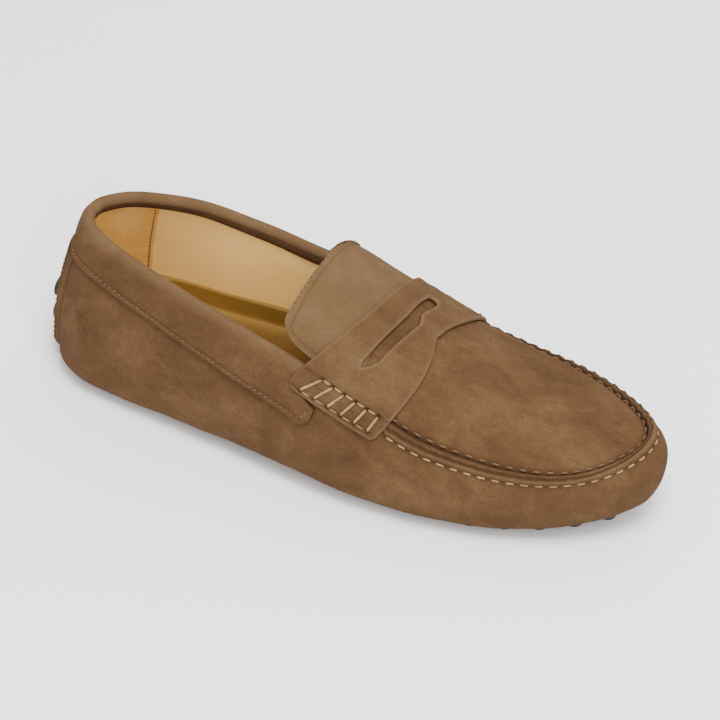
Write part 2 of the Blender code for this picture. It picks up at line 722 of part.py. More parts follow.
def build_strap():
    """Strap over the instep, sewn down at both ends in a thick roll, with
    the cut out slot in its middle."""
    across = np.concatenate([np.linspace(-1, -SEAM_AT, 4)[:-1],
                             np.linspace(-SEAM_AT, SEAM_AT, STRAP_COLUMNS),
                             np.linspace(SEAM_AT, 1, 4)[1:]])
    forward = np.linspace(0, 1, 6)
    place, step = np.meshgrid(across, forward, indexing="ij")
    rear = table(STRAP_OUTLINE, 1, place)
    front = table(STRAP_OUTLINE, 2, place)
    base = strap_surface(place, rear + (front - rear) * step)
    normal = grid_normals(base.transpose(1, 0, 2)).transpose(1, 0, 2)
    roll = STRAP_ROLL * blend(ROLL_AT, SEAM_AT, np.abs(place))
    top = base + normal * (STRAP_CLEARANCE + STRAP_THICK + roll)[..., None]
    strap = slab("strap", top, base + normal * STRAP_CLEARANCE)
    combine(strap, slot_cutter(), 'DIFFERENCE')
    return strap


def slot_cutter():
    """Upright prism through the strap in the shape of its slot."""
    rows = np.array(SLOT_OUTLINE)
    across = np.concatenate([rows[:, 0], rows[::-1, 0]])
    shares = np.concatenate([rows[:, 1], rows[::-1, 2]])
    outline = strap_surface(across, shares)
    count = len(outline)
    points = [(x, y, z) for z in (INSTEP_HEIGHT / 2, INSTEP_HEIGHT * 2) for x, y, _ in outline]
    faces = [tuple(range(count))[::-1], tuple(range(count, 2 * count))]
    for k in range(count):
        j = (k + 1) % count
        faces.append((k, j, count + j, count + k))
    return make_object("strap_slot", points, faces)


def build_band():
    """Collar band with its rolled rim, from one strap end round the heel to
    the other."""
    end = ring_angle(TOP_RING, place_of(BAND_FRONT))
    angle = np.concatenate([np.linspace(-end, -0.55, 14), np.linspace(-0.45, 0.45, 9),
                            np.linspace(0.55, end, 14)])
    rise = blend(BAND_EVEN, BAND_FULL, np.abs(angle))
    depth = BAND_HEEL_DEPTH + (BAND_SIDE_DEPTH - BAND_HEEL_DEPTH) * rise
    face = band_leaf(BAND_FACE, angle, depth, RIM_RISE, GAP + BAND_THICK, WALL + GAP + BAND_THICK)
    back = band_leaf(BAND_BACK, angle, depth, GAP, GAP, WALL + GAP)
    return slab("collar_band", face, back)


def band_leaf(rows, angle, depth, rise, outer, inner):
    """Grid of one side of the band, from its table."""
    columns = []
    for share, up, turned, out, inward in rows:
        drop = depth * share - rise * up + BAND_INSIDE * turned
        stand = np.full(len(angle), outer * out - inner * inward)
        columns.append(off_wall(band_angle(angle, share * depth[-1]), drop, stand))
    return np.stack(columns, 1)


def band_angle(angle, drop):
    """Angles of one row of the band: below the strap's end it runs further
    to the front, up to the round of its lower corner."""
    start = STRAP_END + STRAP_THICK
    low = BAND_SIDE_DEPTH - BAND_CORNER
    turn = np.clip((drop - low) / BAND_CORNER, 0, 1)
    reach = BAND_REACH * blend(start, start + BAND_STEP, drop) - BAND_CORNER * (1 - np.sqrt(1 - turn ** 2))
    end = ring_angle(TOP_RING, place_of(BAND_FRONT) + np.maximum(reach, 0))
    stretch = blend(BAND_FULL - BAND_EVEN, angle[-1], np.abs(angle)) * np.sign(angle)
    return angle + (end - angle[-1]) * stretch


def heel_point(drop, arc, out):
    """Point round the back of the heel, an arc away from its middle."""
    turn = np.linspace(-0.9, 0.9, 73)
    points = np.empty(drop.shape + (3,))
    for i in np.ndindex(drop.shape):
        line = wall_point(turn, np.full(73, drop[i]))
        run = np.concatenate([[0], np.cumsum(np.linalg.norm(np.diff(line, axis=0), axis=1))])
        angle = np.interp(arc[i] + run[36], run, turn)
        points[i] = off_wall(np.array([angle]), np.array([drop[i]]), np.array([out]))[0]
    return points


def heel_grid(half_width, top, bottom, out):
    """Grid on the back of the heel, wider at its foot."""
    across, along = np.linspace(-1, 1, HEEL_COLUMNS), np.linspace(0, 1, HEEL_ROWS)
    side, down = np.meshgrid(across, along, indexing="ij")
    drop = top + (bottom - top) * down
    return heel_point(drop, side * half_width * (1 + PATCH_FLARE * down), out)


def heel_studs(name, top, grow, low, high):
    """Round prisms square to the back of the heel."""
    points, faces = [], []
    middle = np.zeros(1)
    for below in HEEL_BACK_STUDS:
        drop = np.array([top + below])
        foot = heel_point(drop, middle, low)[0]
        tip = heel_point(drop, middle, high)[0]
        axis = unit(tip - foot)
        side = unit(np.cross(axis, (0.0, 0.0, 1.0)))
        up = np.cross(side, axis)
        first = len(points)
        for centre in (foot, tip):
            for k in range(STUD_SIDES):
                angle = 2 * math.pi * k / STUD_SIDES
                radius = HEEL_BACK_STUD / 2 + grow
                points.append(centre + radius * (math.cos(angle) * side + math.sin(angle) * up))
        for k in range(STUD_SIDES):
            j = (k + 1) % STUD_SIDES
            faces.append((first + k, first + j, first + STUD_SIDES + j, first + STUD_SIDES + k))
        faces.append(tuple(first + k for k in range(STUD_SIDES))[::-1])
        faces.append(tuple(first + STUD_SIDES + k for k in range(STUD_SIDES)))
    return make_object(name, points, faces)


def build_heel():
    """Suede patch on the back of the heel and the rubber under it, whose
    studs come through the patch."""
    top = BAND_HEEL_DEPTH + GAP
    bottom = top + PATCH_DEPTH
    under = GAP + HEEL_WEB + GAP
    outer = heel_grid(PATCH_HALF_WIDTH, top, bottom, under + PATCH_THICK)
    patch = slab("heel_patch", outer, heel_grid(PATCH_HALF_WIDTH, top, bottom, under))
    holes = heel_studs("heel_stud_holes", top, GAP, -WALL, under + PATCH_THICK + HEEL_BACK_PROUD)
    combine(patch, holes, 'DIFFERENCE')
    edge = PATCH_HALF_WIDTH - HEEL_WEB_INSET
    high, low = top + HEEL_WEB_INSET, bottom - HEEL_WEB_INSET
    web = slab("heel_rubber", heel_grid(edge, high, low, GAP + HEEL_WEB),
               heel_grid(edge, high, low, GAP))
    bodies = heel_studs("heel_stud_bodies", top, 0.0, GAP + HEEL_WEB / 2,
                        under + PATCH_THICK + HEEL_BACK_PROUD)
    combine(web, bodies, 'UNION')
    return patch, web


def paint(piece, name, colour, roughness):
    """Plain material of its own for one piece."""
    finish = bpy.data.materials.new(name)
    finish.use_nodes = True
    shader = finish.node_tree.nodes["Principled BSDF"]
    shader.inputs["Base Color"].default_value = colour + (1.0,)
    shader.inputs["Roughness"].default_value = roughness
    shader.inputs["Metallic"].default_value = 0.0
    piece.data.materials.append(finish)


def build():
    """The whole shoe."""
    panel_studs, wrap_studs = studs_at()
    patch, heel_rubber = build_heel()
    pieces = (
        (build_upper(wrap_studs), SUEDE, 0.95),
        (build_panel(panel_studs), SUEDE, 0.95),
        (build_rubber(panel_studs + wrap_studs), RUBBER, 0.60),
        (build_insole(), LEATHER, 0.55),
        (build_plug(), SUEDE, 0.95),
        (build_tongue(), SUEDE, 0.95),
        (build_strap(), SUEDE, 0.95),
        (build_band(), SUEDE, 0.95),
        (patch, SUEDE, 0.95),
        (heel_rubber, RUBBER, 0.60),
    )
    for piece, colour, roughness in pieces:
        paint(piece, piece.name + "_finish", colour, roughness)
        PARTS.objects.link(piece)


for old in list(bpy.data.objects):
    bpy.data.objects.remove(old, do_unlink=True)
PARTS = bpy.data.collections.new("driving_moccasin")
CUTTERS = bpy.data.collections.new("cutters")
bpy.context.scene.collection.children.link(PARTS)
bpy.context.scene.collection.children.link(CUTTERS)
build()
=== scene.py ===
"""Looks of a suede driving moccasin: nap, linings, hand sewn seams and studs.

Metres, +Z up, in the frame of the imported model: +X to the toe, +Y to the inner
side of the foot, the origin on the floor under the round heel stud.
"""
import logging
import math
from dataclasses import dataclass, field
from enum import Enum

import bmesh
import bpy
import numpy as np
from mathutils import Matrix, Vector


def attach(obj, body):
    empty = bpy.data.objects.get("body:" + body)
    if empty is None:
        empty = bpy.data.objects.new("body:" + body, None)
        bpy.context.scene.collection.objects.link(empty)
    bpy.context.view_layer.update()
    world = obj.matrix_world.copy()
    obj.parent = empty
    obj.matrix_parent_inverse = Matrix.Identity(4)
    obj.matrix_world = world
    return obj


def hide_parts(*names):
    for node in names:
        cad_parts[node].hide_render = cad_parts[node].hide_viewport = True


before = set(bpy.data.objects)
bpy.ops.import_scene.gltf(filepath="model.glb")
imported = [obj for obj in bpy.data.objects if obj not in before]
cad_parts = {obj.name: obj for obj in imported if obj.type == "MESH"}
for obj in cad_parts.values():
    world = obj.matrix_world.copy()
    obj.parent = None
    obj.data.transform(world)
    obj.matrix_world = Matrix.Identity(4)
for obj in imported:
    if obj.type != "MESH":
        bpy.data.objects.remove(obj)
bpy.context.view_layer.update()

Array = np.ndarray
Table = tuple[tuple[float, ...], ...]
LOG = logging.getLogger("moccasin")
TURN = 2 * math.pi
# Depth of a stitch's ends below the surface, and twist of a plied thread.
STITCH_DEPTH = 0.0005
PLY_PITCH = 0.0022


def hermite(xs: Array, ys: Array, at: Array) -> Array:
    """Smooth curve through points: on each stretch the cubic that starts and
    ends with the weighted mean of the chords beside it.

    Args:
        xs: Rising places of the points.
        ys: Values there.
        at: Places to read, held between the first and the last.

    Returns:
        Values at those places.
    """
    step = np.diff(xs)
    chord = np.diff(ys) / step
    slope = np.empty_like(ys)
    slope[1:-1] = (chord[:-1] * step[1:] + chord[1:] * step[:-1]) / (step[:-1] + step[1:])
    slope[0], slope[-1] = chord[0], chord[-1]
    at = np.clip(at, xs[0], xs[-1])
    i = np.clip(np.searchsorted(xs, at) - 1, 0, len(step) - 1)
    h = step[i]
    t = (at - xs[i]) / h
    start = (1 + 2 * t) * (1 - t) ** 2 * ys[i] + t * (1 - t) ** 2 * h * slope[i]
    end = t ** 2 * (3 - 2 * t) * ys[i + 1] + t ** 2 * (t - 1) * h * slope[i + 1]
    return start + end


def column(rows: Table, index: int, at: Array) -> Array:
    """One column of a table, read smoothly along its first column."""
    values = np.array(rows)
    return hermite(values[:, 0], values[:, index], np.asarray(at, float))


def step(low: float, high: float, value: Array) -> Array:
    """Smooth step, t squared times (3 - 2 t), from 0 at low to 1 at high."""
    t = np.clip((value - low) / (high - low), 0.0, 1.0)
    return t * t * (3 - 2 * t)


def hill(value: Array, middle: float, width: float) -> Array:
    """Gaussian of height 1 about a middle, with a width to 1/e."""
    return np.exp(-((value - middle) / width) ** 2)


def unit(vectors: Array) -> Array:
    """Vectors brought to length 1."""
    return vectors / np.maximum(np.linalg.norm(vectors, axis=-1, keepdims=True), 1e-12)


def eased(near: Array, radius: float) -> Array:
    """Rounded edge: the quarter circle from 0 at the edge to 1 a radius in."""
    return np.sqrt(np.clip(1 - (1 - np.clip(near / radius, 0, 1)) ** 2, 0, 1))


def run_along(paths: Array) -> Array:
    """Length of polylines up to each of their points.

    Args:
        paths: Points, shape (..., points, 3).

    Returns:
        Lengths, shape (..., points), from 0.
    """
    gaps = np.linalg.norm(np.diff(paths, axis=-2), axis=-1)
    return np.concatenate([np.zeros(gaps.shape[:-1] + (1,)), np.cumsum(gaps, -1)], -1)


def resample(paths: Array, at: Array) -> Array:
    """Points at distances along polylines. The lengths of the stretches are
    summed from the start, and the point is read off its stretch in a straight
    line; past an end the last stretch carries on.

    Args:
        paths: Polylines, shape (count, points, 3).
        at: Distances, shape (count, places).

    Returns:
        Points, shape (count, places, 3).
    """
    run = run_along(paths)
    index = np.clip((run[:, None, :] <= at[:, :, None]).sum(-1) - 1, 0, paths.shape[1] - 2)
    low = np.take_along_axis(run, index, 1)
    high = np.take_along_axis(run, index + 1, 1)
    part = ((at - low) / np.maximum(high - low, 1e-9))[..., None]
    first = np.take_along_axis(paths, index[..., None], 1)
    second = np.take_along_axis(paths, index[..., None] + 1, 1)
    return first + (second - first) * part


def lengths(paths: Array) -> Array:
    """Length of each polyline."""
    return np.linalg.norm(np.diff(paths, axis=1), axis=2).sum(1)


def grid_normals(grid: Array, closed: bool = False) -> Array:
    """Normals of a grid: the cross product of the step along its rows and the
    step along its columns, so they point out of a wall whose rows run round
    the shoe from the heel by the outer side and whose columns run down it.

    Args:
        grid: Points, shape (rows, columns, 3).
        closed: Whether the last row joins the first.

    Returns:
        Normals, of the same shape.
    """
    if closed:
        along = np.roll(grid, -1, 0) - np.roll(grid, 1, 0)
    else:
        along = np.gradient(grid, axis=0)
    return unit(np.cross(np.gradient(grid, axis=1), along))


@dataclass(frozen=True)
class Last:
    """Shape of the shoe that every piece is laid on, with the sizes and the
    tables of shares that the solid model has."""

    length: float = 0.282
    ball_width: float = 0.096
    heel_height: float = 0.075
    instep_height: float = 0.0725
    heel_reach: float = 0.039
    arch_rise: float = 0.0014
    toe_spring: float = 0.0095
    wall_thick: float = 0.0017
    stud_height: float = 0.0045
    crown_squareness: float = 0.58
    strap_end: float = 0.0068
    seam_at: float = 0.80
    # Share of length, outer and inner half width as shares of the ball width,
    # height as shares of the heel height and of the instep height.
    widest: Table = (
        (0.007, 0.000, 0.000, 0.135, 0.000), (0.023, 0.205, 0.185, 0.135, 0.000),
        (0.068, 0.332, 0.302, 0.160, 0.000), (0.148, 0.392, 0.350, 0.200, 0.000),
        (0.253, 0.430, 0.356, 0.230, 0.000), (0.374, 0.480, 0.362, 0.110, 0.100),
        (0.505, 0.542, 0.395, 0.000, 0.205), (0.637, 0.556, 0.461, 0.000, 0.225),
        (0.758, 0.515, 0.469, 0.000, 0.262), (0.863, 0.410, 0.401, 0.000, 0.296),
        (0.943, 0.270, 0.280, 0.000, 0.345), (0.986, 0.135, 0.145, 0.000, 0.386),
        (1.000, 0.000, 0.000, 0.000, 0.400),
    )
    top: Table = (
        (0.043, 0.000, 0.000, 1.000, 0.000), (0.052, 0.085, 0.088, 1.000, 0.000),
        (0.080, 0.160, 0.165, 1.000, 0.000), (0.127, 0.226, 0.234, 0.990, 0.000),
        (0.181, 0.281, 0.281, 0.973, 0.000), (0.266, 0.323, 0.328, 0.907, 0.000),
        (0.369, 0.354, 0.359, 0.600, 0.221), (0.454, 0.382, 0.375, 0.300, 0.455),
        (0.489, 0.409, 0.385, 0.200, 0.524), (0.595, 0.461, 0.403, 0.000, 0.621),
        (0.649, 0.474, 0.409, 0.000, 0.559), (0.734, 0.464, 0.401, 0.000, 0.510),
        (0.816, 0.427, 0.370, 0.000, 0.497), (0.865, 0.375, 0.323, 0.000, 0.497),
        (0.912, 0.286, 0.245, 0.000, 0.510), (0.947, 0.172, 0.151, 0.000, 0.538),
        (0.969, 0.000, 0.000, 0.000, 0.566),
    )
    # Share of length, outer and inner half width as shares of the ball width.
    roll: Table = (
        (0.015, 0.000, 0.000), (0.030, 0.135, 0.130), (0.068, 0.266, 0.255),
        (0.117, 0.322, 0.298), (0.169, 0.345, 0.296), (0.276, 0.366, 0.276),
        (0.378, 0.402, 0.266), (0.482, 0.450, 0.306), (0.591, 0.488, 0.370),
        (0.648, 0.490, 0.391), (0.705, 0.474, 0.393), (0.762, 0.443, 0.375),
        (0.819, 0.395, 0.349), (0.865, 0.342, 0.318), (0.915, 0.258, 0.262),
        (0.950, 0.172, 0.180), (0.972, 0.094, 0.098), (0.982, 0.000, 0.000),
    )
    panel: Table = (
        (0.025, 0.000, 0.000), (0.034, 0.066, 0.068), (0.068, 0.116, 0.118),
        (0.117, 0.156, 0.148), (0.167, 0.158, 0.146), (0.216, 0.176, 0.120),
        (0.273, 0.190, 0.104), (0.322, 0.206, 0.089), (0.376, 0.235, 0.082),
        (0.440, 0.262, 0.097), (0.514, 0.299, 0.138), (0.595, 0.324, 0.195),
        (0.691, 0.315, 0.213), (0.776, 0.271, 0.191), (0.858, 0.196, 0.161),
        (0.904, 0.138, 0.128), (0.927, 0.072, 0.072), (0.936, 0.000, 0.000),
    )
    # Share of length, sideways place of the crown, height as shares of heel and
    # instep height.
    crown: Table = (
        (0.404, 0.070, 0.400, 0.800), (0.458, 0.060, 0.300, 0.840),
        (0.507, 0.040, 0.150, 0.912), (0.550, 0.020, 0.000, 1.000),
        (0.592, 0.008, 0.000, 0.924), (0.642, -0.010, 0.000, 0.834),
        (0.691, -0.020, 0.000, 0.766), (0.741, -0.025, 0.000, 0.710),
        (0.812, -0.022, 0.000, 0.641), (0.883, -0.015, 0.000, 0.596),
        (0.936, -0.005, 0.000, 0.578), (0.969, 0.000, 0.000, 0.566),
    )
    # Share of length, shares of the arch rise and of the toe spring.
    underside_lift: Table = (
        (0.000, 0.0, 0.00), (0.253, 0.0, 0.00), (0.384, 0.8, 0.00), (0.475, 1.0, 0.00),
        (0.565, 0.0, 0.00), (0.738, 0.0, 0.00), (0.819, 0.0, 0.15), (0.889, 0.0, 0.40),
        (0.950, 0.0, 0.67), (1.000, 0.0, 1.00),
    )
    # Share of length, lean of the side wall at the top edge in degrees.
    wall_lean: Table = ((0.0, 34.0), (0.35, 45.0), (0.55, 50.0), (0.70, 68.0), (1.0, 74.0))

    def share_of(self, x: Array) -> Array:
        """Share of the length at a place along X."""
        return (x + self.heel_reach) / self.length

    def place_of(self, share: Array) -> Array:
        """Place along X at a share of the length."""
        return np.asarray(share) * self.length - self.heel_reach

    def floor_lift(self, x: Array) -> Array:
        """Height of the feet of the studs above the floor.

        Args:
            x: Places along X.

        Returns:
            Heights.
        """
        share = self.share_of(x)
        rows = np.array(self.underside_lift)
        arch = np.interp(share, rows[:, 0], rows[:, 1])
        toe = column(self.underside_lift, 2, share)
        return arch * self.arch_rise + np.maximum(toe, 0.0) * self.toe_spring

    def underside(self, x: Array) -> Array:
        """Height of the outer face of the suede under the foot."""
        return self.stud_height + self.floor_lift(x)

    def ring(self, rows: Table, angle: Array) -> Array:
        """Points of a closed ring round the shoe. Its place along X is half
        the length times (1 - cos angle), from the heel at 0 by the outer side
        to the toe at pi, and its side is read smoothly from the table.

        Args:
            rows: Table of the ring.
            angle: Angles round the shoe.

        Returns:
            Points, one for each angle.
        """
        values = np.array(rows)
        first, last = values[0, 0], values[-1, 0]
        knots = np.arccos(np.clip(1 - 2 * (values[:, 0] - first) / (last - first), -1, 1))
        turn = np.concatenate([knots, TURN - knots[-2:0:-1]])
        side = np.concatenate([-values[:, 1], values[-2:0:-1, 2]])
        turn = np.concatenate([turn - TURN, turn, turn + TURN])
        wrapped = np.mod(angle, TURN)
        x = self.place_of(first + (last - first) * (1 - np.cos(wrapped)) / 2)
        y = hermite(turn, np.tile(side, 3), wrapped) * self.ball_width
        if values.shape[1] > 3:
            share = self.share_of(x)
            z = column(rows, 3, share) * self.heel_height + column(rows, 4, share) * self.instep_height
        else:
            z = self.underside(x)
        return np.stack([x, y, z], -1)

    def ring_angle(self, rows: Table, share: Array) -> Array:
        """Angle at which a ring passes a share of the length, outer side."""
        first, last = rows[0][0], rows[-1][0]
        return np.arccos(np.clip(1 - 2 * (share - first) / (last - first), -1, 1))

    def wall(self, angle: Array, steps: int = 96) -> Array:
        """Ribs from the top edge down: a leaning arc to the widest line, a
        quarter ellipse in to the start of the roll, then flat under the foot
        to the seam with the panel.

        Args:
            angle: Angles round the shoe.
            steps: Points on the arc and the ellipse together.

        Returns:
            Points, shape (angles, points, 3).
        """
        foot, wide, top = (self.ring(r, angle)[:, None] for r in (self.roll, self.widest, self.top))
        phi = np.linspace(math.pi / 2, 0, steps // 2 + 1)[None, 1:]
        low = np.empty((len(angle), phi.shape[1], 3))
        low[..., :2] = foot[..., :2] + (wide - foot)[..., :2] * np.sin(phi)[..., None]
        low[..., 2] = foot[..., 2] + (wide - foot)[..., 2] * (1 - np.cos(phi))
        lean = np.radians(np.interp(self.share_of(wide[:, 0, 0]), *zip(*self.wall_lean)))[:, None]
        psi = np.linspace(1, 0, steps // 2 + 1)[None] * lean
        high = np.empty((len(angle), psi.shape[1], 3))
        inward = (1 - np.cos(psi)) / (1 - np.cos(lean))
        high[..., :2] = wide[..., :2] + (top - wide)[..., :2] * inward[..., None]
        high[..., 2] = wide[..., 2] + (top - wide)[..., 2] * np.sin(psi) / np.sin(lean)
        seam = self.ring(self.panel, angle)[:, None]
        flat = foot + (seam - foot) * np.linspace(0, 1, 25)[None, 1:, None]
        flat[..., 2] = self.underside(flat[..., 0])
        return np.concatenate([high, low, flat], 1)

    def down(self, angle: Array, drop: Array) -> Array:
        """Outer face of the wrap, distances down its ribs from the top edge."""
        return resample(self.wall(angle), drop)

    def out(self, angle: Array, drop: Array, off: Array | float) -> Array:
        """Points standing off the outer face of the wrap along its normal,
        which is the cross product of small steps round and down it.

        Args:
            angle: Angles round the shoe.
            drop: Distances down the ribs, shape (angles, places).
            off: Height over the face.

        Returns:
            Points, shape (angles, places, 3).
        """
        turn, slide = 0.008, 0.0004
        held = np.maximum(drop, slide)
        around = self.down(angle + turn, held) - self.down(angle - turn, held)
        below = self.down(angle, held + slide) - self.down(angle, held - slide)
        normal = unit(np.cross(below, around))
        return self.down(angle, drop) + normal * (np.zeros(drop.shape) + off)[..., None]

    def crown_z(self, x: Array, y: Array) -> Array:
        """Height of the plug over a place: from the top edge at either side it
        climbs to the crown by (1 - t squared) to a power, t being the share
        of the way from the crown to the edge.

        Args:
            x: Places along X.
            y: Places along Y.

        Returns:
            Heights.
        """
        share = self.share_of(x)
        angle = self.ring_angle(self.top, share)
        outer, inner = self.ring(self.top, angle), self.ring(self.top, TURN - angle)
        middle = np.clip(column(self.crown, 1, share) * self.ball_width, outer[..., 1], inner[..., 1])
        height = (column(self.crown, 2, share) * self.heel_height
                  + column(self.crown, 3, share) * self.instep_height)
        reach = np.where(y < middle, middle - outer[..., 1], inner[..., 1] - middle)
        t = np.clip((y - middle) / np.maximum(reach, 1e-6), -1, 1)
        base = outer[..., 2] + (inner[..., 2] - outer[..., 2]) * (1 + t) / 2
        return base + np.maximum(height - base, 0) * (1 - t ** 2) ** self.crown_squareness

    def over(self, share: Array, points: int = 161) -> Array:
        """Curves over the instep from the outer to the inner top edge, with
        places set by the sine of an even angle so that the steep ends are
        finely stepped.

        Args:
            share: Shares of the length.
            points: Points of each curve.

        Returns:
            Points, shape (shares, points, 3).
        """
        angle = self.ring_angle(self.top, share)
        outer, inner = self.ring(self.top, angle), self.ring(self.top, TURN - angle)
        t = np.sin(np.linspace(-math.pi / 2, math.pi / 2, points))[None]
        middle = column(self.crown, 1, share) * self.ball_width
        middle = np.clip(middle, outer[:, 1], inner[:, 1])[:, None]
        reach = np.where(t < 0, middle - outer[:, 1:2], inner[:, 1:2] - middle)
        y = middle + t * reach
        x = np.broadcast_to(outer[:, :1], y.shape)
        return np.stack([x, y, self.crown_z(x, y)], -1)


LAST = Last()


def make_mesh(name: str, points: Array, faces: Array | list, marks: dict[str, Array] | None = None,
              merge: float = 1e-6) -> bpy.types.Object:
    """Mesh object from points and faces, shaded smooth.

    Args:
        name: Name of the piece.
        points: Points, shape (count, 3).
        faces: Corner indices of each face.
        marks: Numbers kept on the points as named attributes.
        merge: Distance under which points become one.

    Returns:
        The object, linked to the scene.
    """
    mesh = bpy.data.meshes.new(name)
    faces = faces.tolist() if isinstance(faces, np.ndarray) else faces
    mesh.from_pydata(points.reshape(-1, 3).tolist(), [], faces)
    for key, values in (marks or {}).items():
        layer = mesh.attributes.new(key, "FLOAT", "POINT")
        layer.data.foreach_set("value", values.astype(np.float32).ravel())
    if merge > 0:
        work = bmesh.new()
        work.from_mesh(mesh)
        bmesh.ops.remove_doubles(work, verts=work.verts, dist=merge)
        bmesh.ops.dissolve_degenerate(work, edges=work.edges, dist=merge)
        bmesh.ops.recalc_face_normals(work, faces=work.faces)
        work.to_mesh(mesh)
        work.free()
    mesh.shade_smooth()
    piece = bpy.data.objects.new(name, mesh)
    bpy.context.scene.collection.objects.link(piece)
    return piece


def quads(rows: int, columns: int, closed: bool = False) -> Array:
    """Corner indices of the faces of a grid of points.

    Args:
        rows: Rows of points.
        columns: Points in a row.
        closed: Whether the last row joins the first.

    Returns:
        Corner indices, shape (faces, 4).
    """
    i = np.arange(rows if closed else rows - 1)[:, None]
    k = np.arange(columns - 1)[None]
    j = (i + 1) % rows
    a, b = i * columns + k, j * columns + k
    return np.stack([a, b, b + 1, a + 1], -1).reshape(-1, 4)


def ring_faces(count: int, rings: int, sides: int) -> Array:
    """Corner indices of the walls of tubes whose rings of points follow one
    another, tube after tube.

    Args:
        count: Number of tubes.
        rings: Rings of each tube.
        sides: Points of a ring.

    Returns:
        Corner indices, shape (faces, 4).
    """
    first = (np.arange(count) * rings * sides)[:, None, None]
    i = (np.arange(rings - 1) * sides)[None, :, None]
    k = np.arange(sides)[None, None]
    n = (k + 1) % sides
    return np.stack([first + i + k, first + i + n, first + i + sides + n, first + i + sides + k],
                    -1).reshape(-1, 4)


def shell(name: str, outer: Array, inner: Array, closed: bool = False, open_end: bool = False,
          marks: dict[str, Array] | None = None, slit: int = 0,
          merge: float = 1e-6) -> bpy.types.Object:
    """Closed skin between two grids of the same size: both faces, and a strip
    of quads along each free side.

    Args:
        name: Name of the piece.
        outer: Outer grid, shape (rows, columns, 3).
        inner: Inner grid of the same shape.
        closed: Whether the last row joins the first.
        open_end: Whether the last column needs no strip, because its points
            meet those of other rows.
        marks: Named numbers on the outer grid, used for the inner one too.
        slit: Column that starts a second lane, or 0. The lanes are one skin
            where their points meet.
        merge: Distance under which points become one.

    Returns:
        The object.
    """
    rows, columns = outer.shape[:2]
    under = rows * columns
    k = np.delete(np.arange(columns - 1), [slit - 1] if slit else [])
    base = quads(rows, columns, closed).reshape(-1, columns - 1, 4)[:, k].reshape(-1, 4)
    faces = [base, base[:, ::-1] + under]
    i = np.arange(rows if closed else rows - 1)
    j = (i + 1) % rows
    sides = [(i * columns, j * columns)]
    if not open_end:
        sides.append((j * columns + columns - 1, i * columns + columns - 1))
    if not closed:
        sides += [(k + 1, k), (under - columns + k, under - columns + k + 1)]
    if slit:
        apart = np.linalg.norm(outer[:, slit - 1] - outer[:, slit], axis=-1) > 1e-5
        a = i[apart[:-1] | apart[1:]] * columns + slit
        sides += [(a + columns - 1, a - 1), (a, a + columns)]
    faces += [np.stack([a, a + under, b + under, b], -1) for a, b in sides]
    both = {key: np.concatenate([v.ravel(), v.ravel()]) for key, v in (marks or {}).items()}
    points = np.concatenate([outer.reshape(-1, 3), inner.reshape(-1, 3)])
    return make_mesh(name, points, np.concatenate(faces), both, merge)


def tubes(name: str, paths: Array, ups: Array, radius: float, sides: int = 8, plies: int = 0,
          flat: float = 0.85) -> bpy.types.Object:
    """Many short threads as one mesh: on each path a ring of points stands on
    the side and up directions, its radius shrinking at both ends by the
    eighth power, and swelling with the plies of a twisted thread.

    Args:
        name: Name of the piece.
        paths: Middle lines, shape (threads, points, 3).
        ups: Direction away from the surface at each point.
        radius: Radius of the thread.
        sides: Points round the thread.
        plies: Strands that show, or 0 for a smooth thread.
        flat: Height of the thread as a share of its width.

    Returns:
        The object.
    """
    count, points = paths.shape[:2]
    along = unit(np.gradient(paths, axis=1))
    side = unit(np.cross(along, ups))
    up = np.cross(side, along)
    t = np.linspace(-1, 1, points)[None, :, None]
    phi = (np.arange(sides) * TURN / sides)[None, None]
    run = run_along(paths)[..., None]
    size = radius * (1 - 0.45 * t ** 8) * (1 + 0.09 * np.cos(plies * phi - TURN * run / PLY_PITCH)
                                           * (plies > 0))
    size = size[..., None]
    turn = phi[..., None]
    ring = paths[:, :, None] + size * (np.cos(turn) * side[:, :, None]
                                      + np.sin(turn) * up[:, :, None] * flat)
    faces = ring_faces(count, points, sides).tolist()
    caps = (np.arange(count) * points * sides)[:, None] + np.arange(sides)[None]
    last = (points - 1) * sides
    faces += caps[:, ::-1].tolist() + (caps + last).tolist()
    return make_mesh(name, ring.reshape(-1, 3), faces, merge=0.0)


def bowed(starts: Array, ends: Array, ups: Array, lift: float, bury: float, points: int = 9) -> Array:
    """Paths of stitches: straight from hole to hole, held up over the middle
    and diving at both ends by the fourth power of the share from the middle.

    Args:
        starts: First hole of each stitch.
        ends: Second hole of each stitch.
        ups: Directions away from the surface.
        lift: Height of the middle.
        bury: Depth of the ends.
        points: Points of a path.

    Returns:
        Paths, shape (stitches, points, 3).
    """
    t = np.linspace(-1, 1, points)[None, :, None]
    middle = starts[:, None] + (ends - starts)[:, None] * (1 + t) / 2
    return middle + ups[:, None] * (lift - (lift + bury) * t ** 4)


@dataclass(frozen=True)
class Seam:
    """Row of running stitches: from hole to hole, the share of that which the
    thread shows over, the height of its middle and its radius."""

    pitch: float
    shown: float
    high: float
    radius: float


def running(line: Array, ups: Array, seam: Seam) -> tuple[Array, Array]:
    """Running stitches along a line, one each pitch of its length.

    Args:
        line: Points of the line.
        ups: Direction away from the surface at each point.
        seam: How the stitches are set.

    Returns:
        Paths and up directions for tubes().
    """
    run = run_along(line)
    count = max(int(run[-1] / seam.pitch), 1)
    at = (np.arange(count) + 0.5) * run[-1] / count
    half = seam.pitch * seam.shown / 2

    def read(values: Array, where: Array) -> Array:
        """Values along the line."""
        return np.stack([np.interp(where, run, values[:, k]) for k in range(3)], -1)

    up = unit(read(ups, at))
    paths = bowed(read(line, at - half), read(line, at + half), up, seam.high, STITCH_DEPTH, 7)
    return paths, np.broadcast_to(up[:, None], paths.shape)


class Nap(Enum):
    """How a suede or leather surface is finished."""

    BRUSHED = "brushed"
    SMOOTH = "smooth"


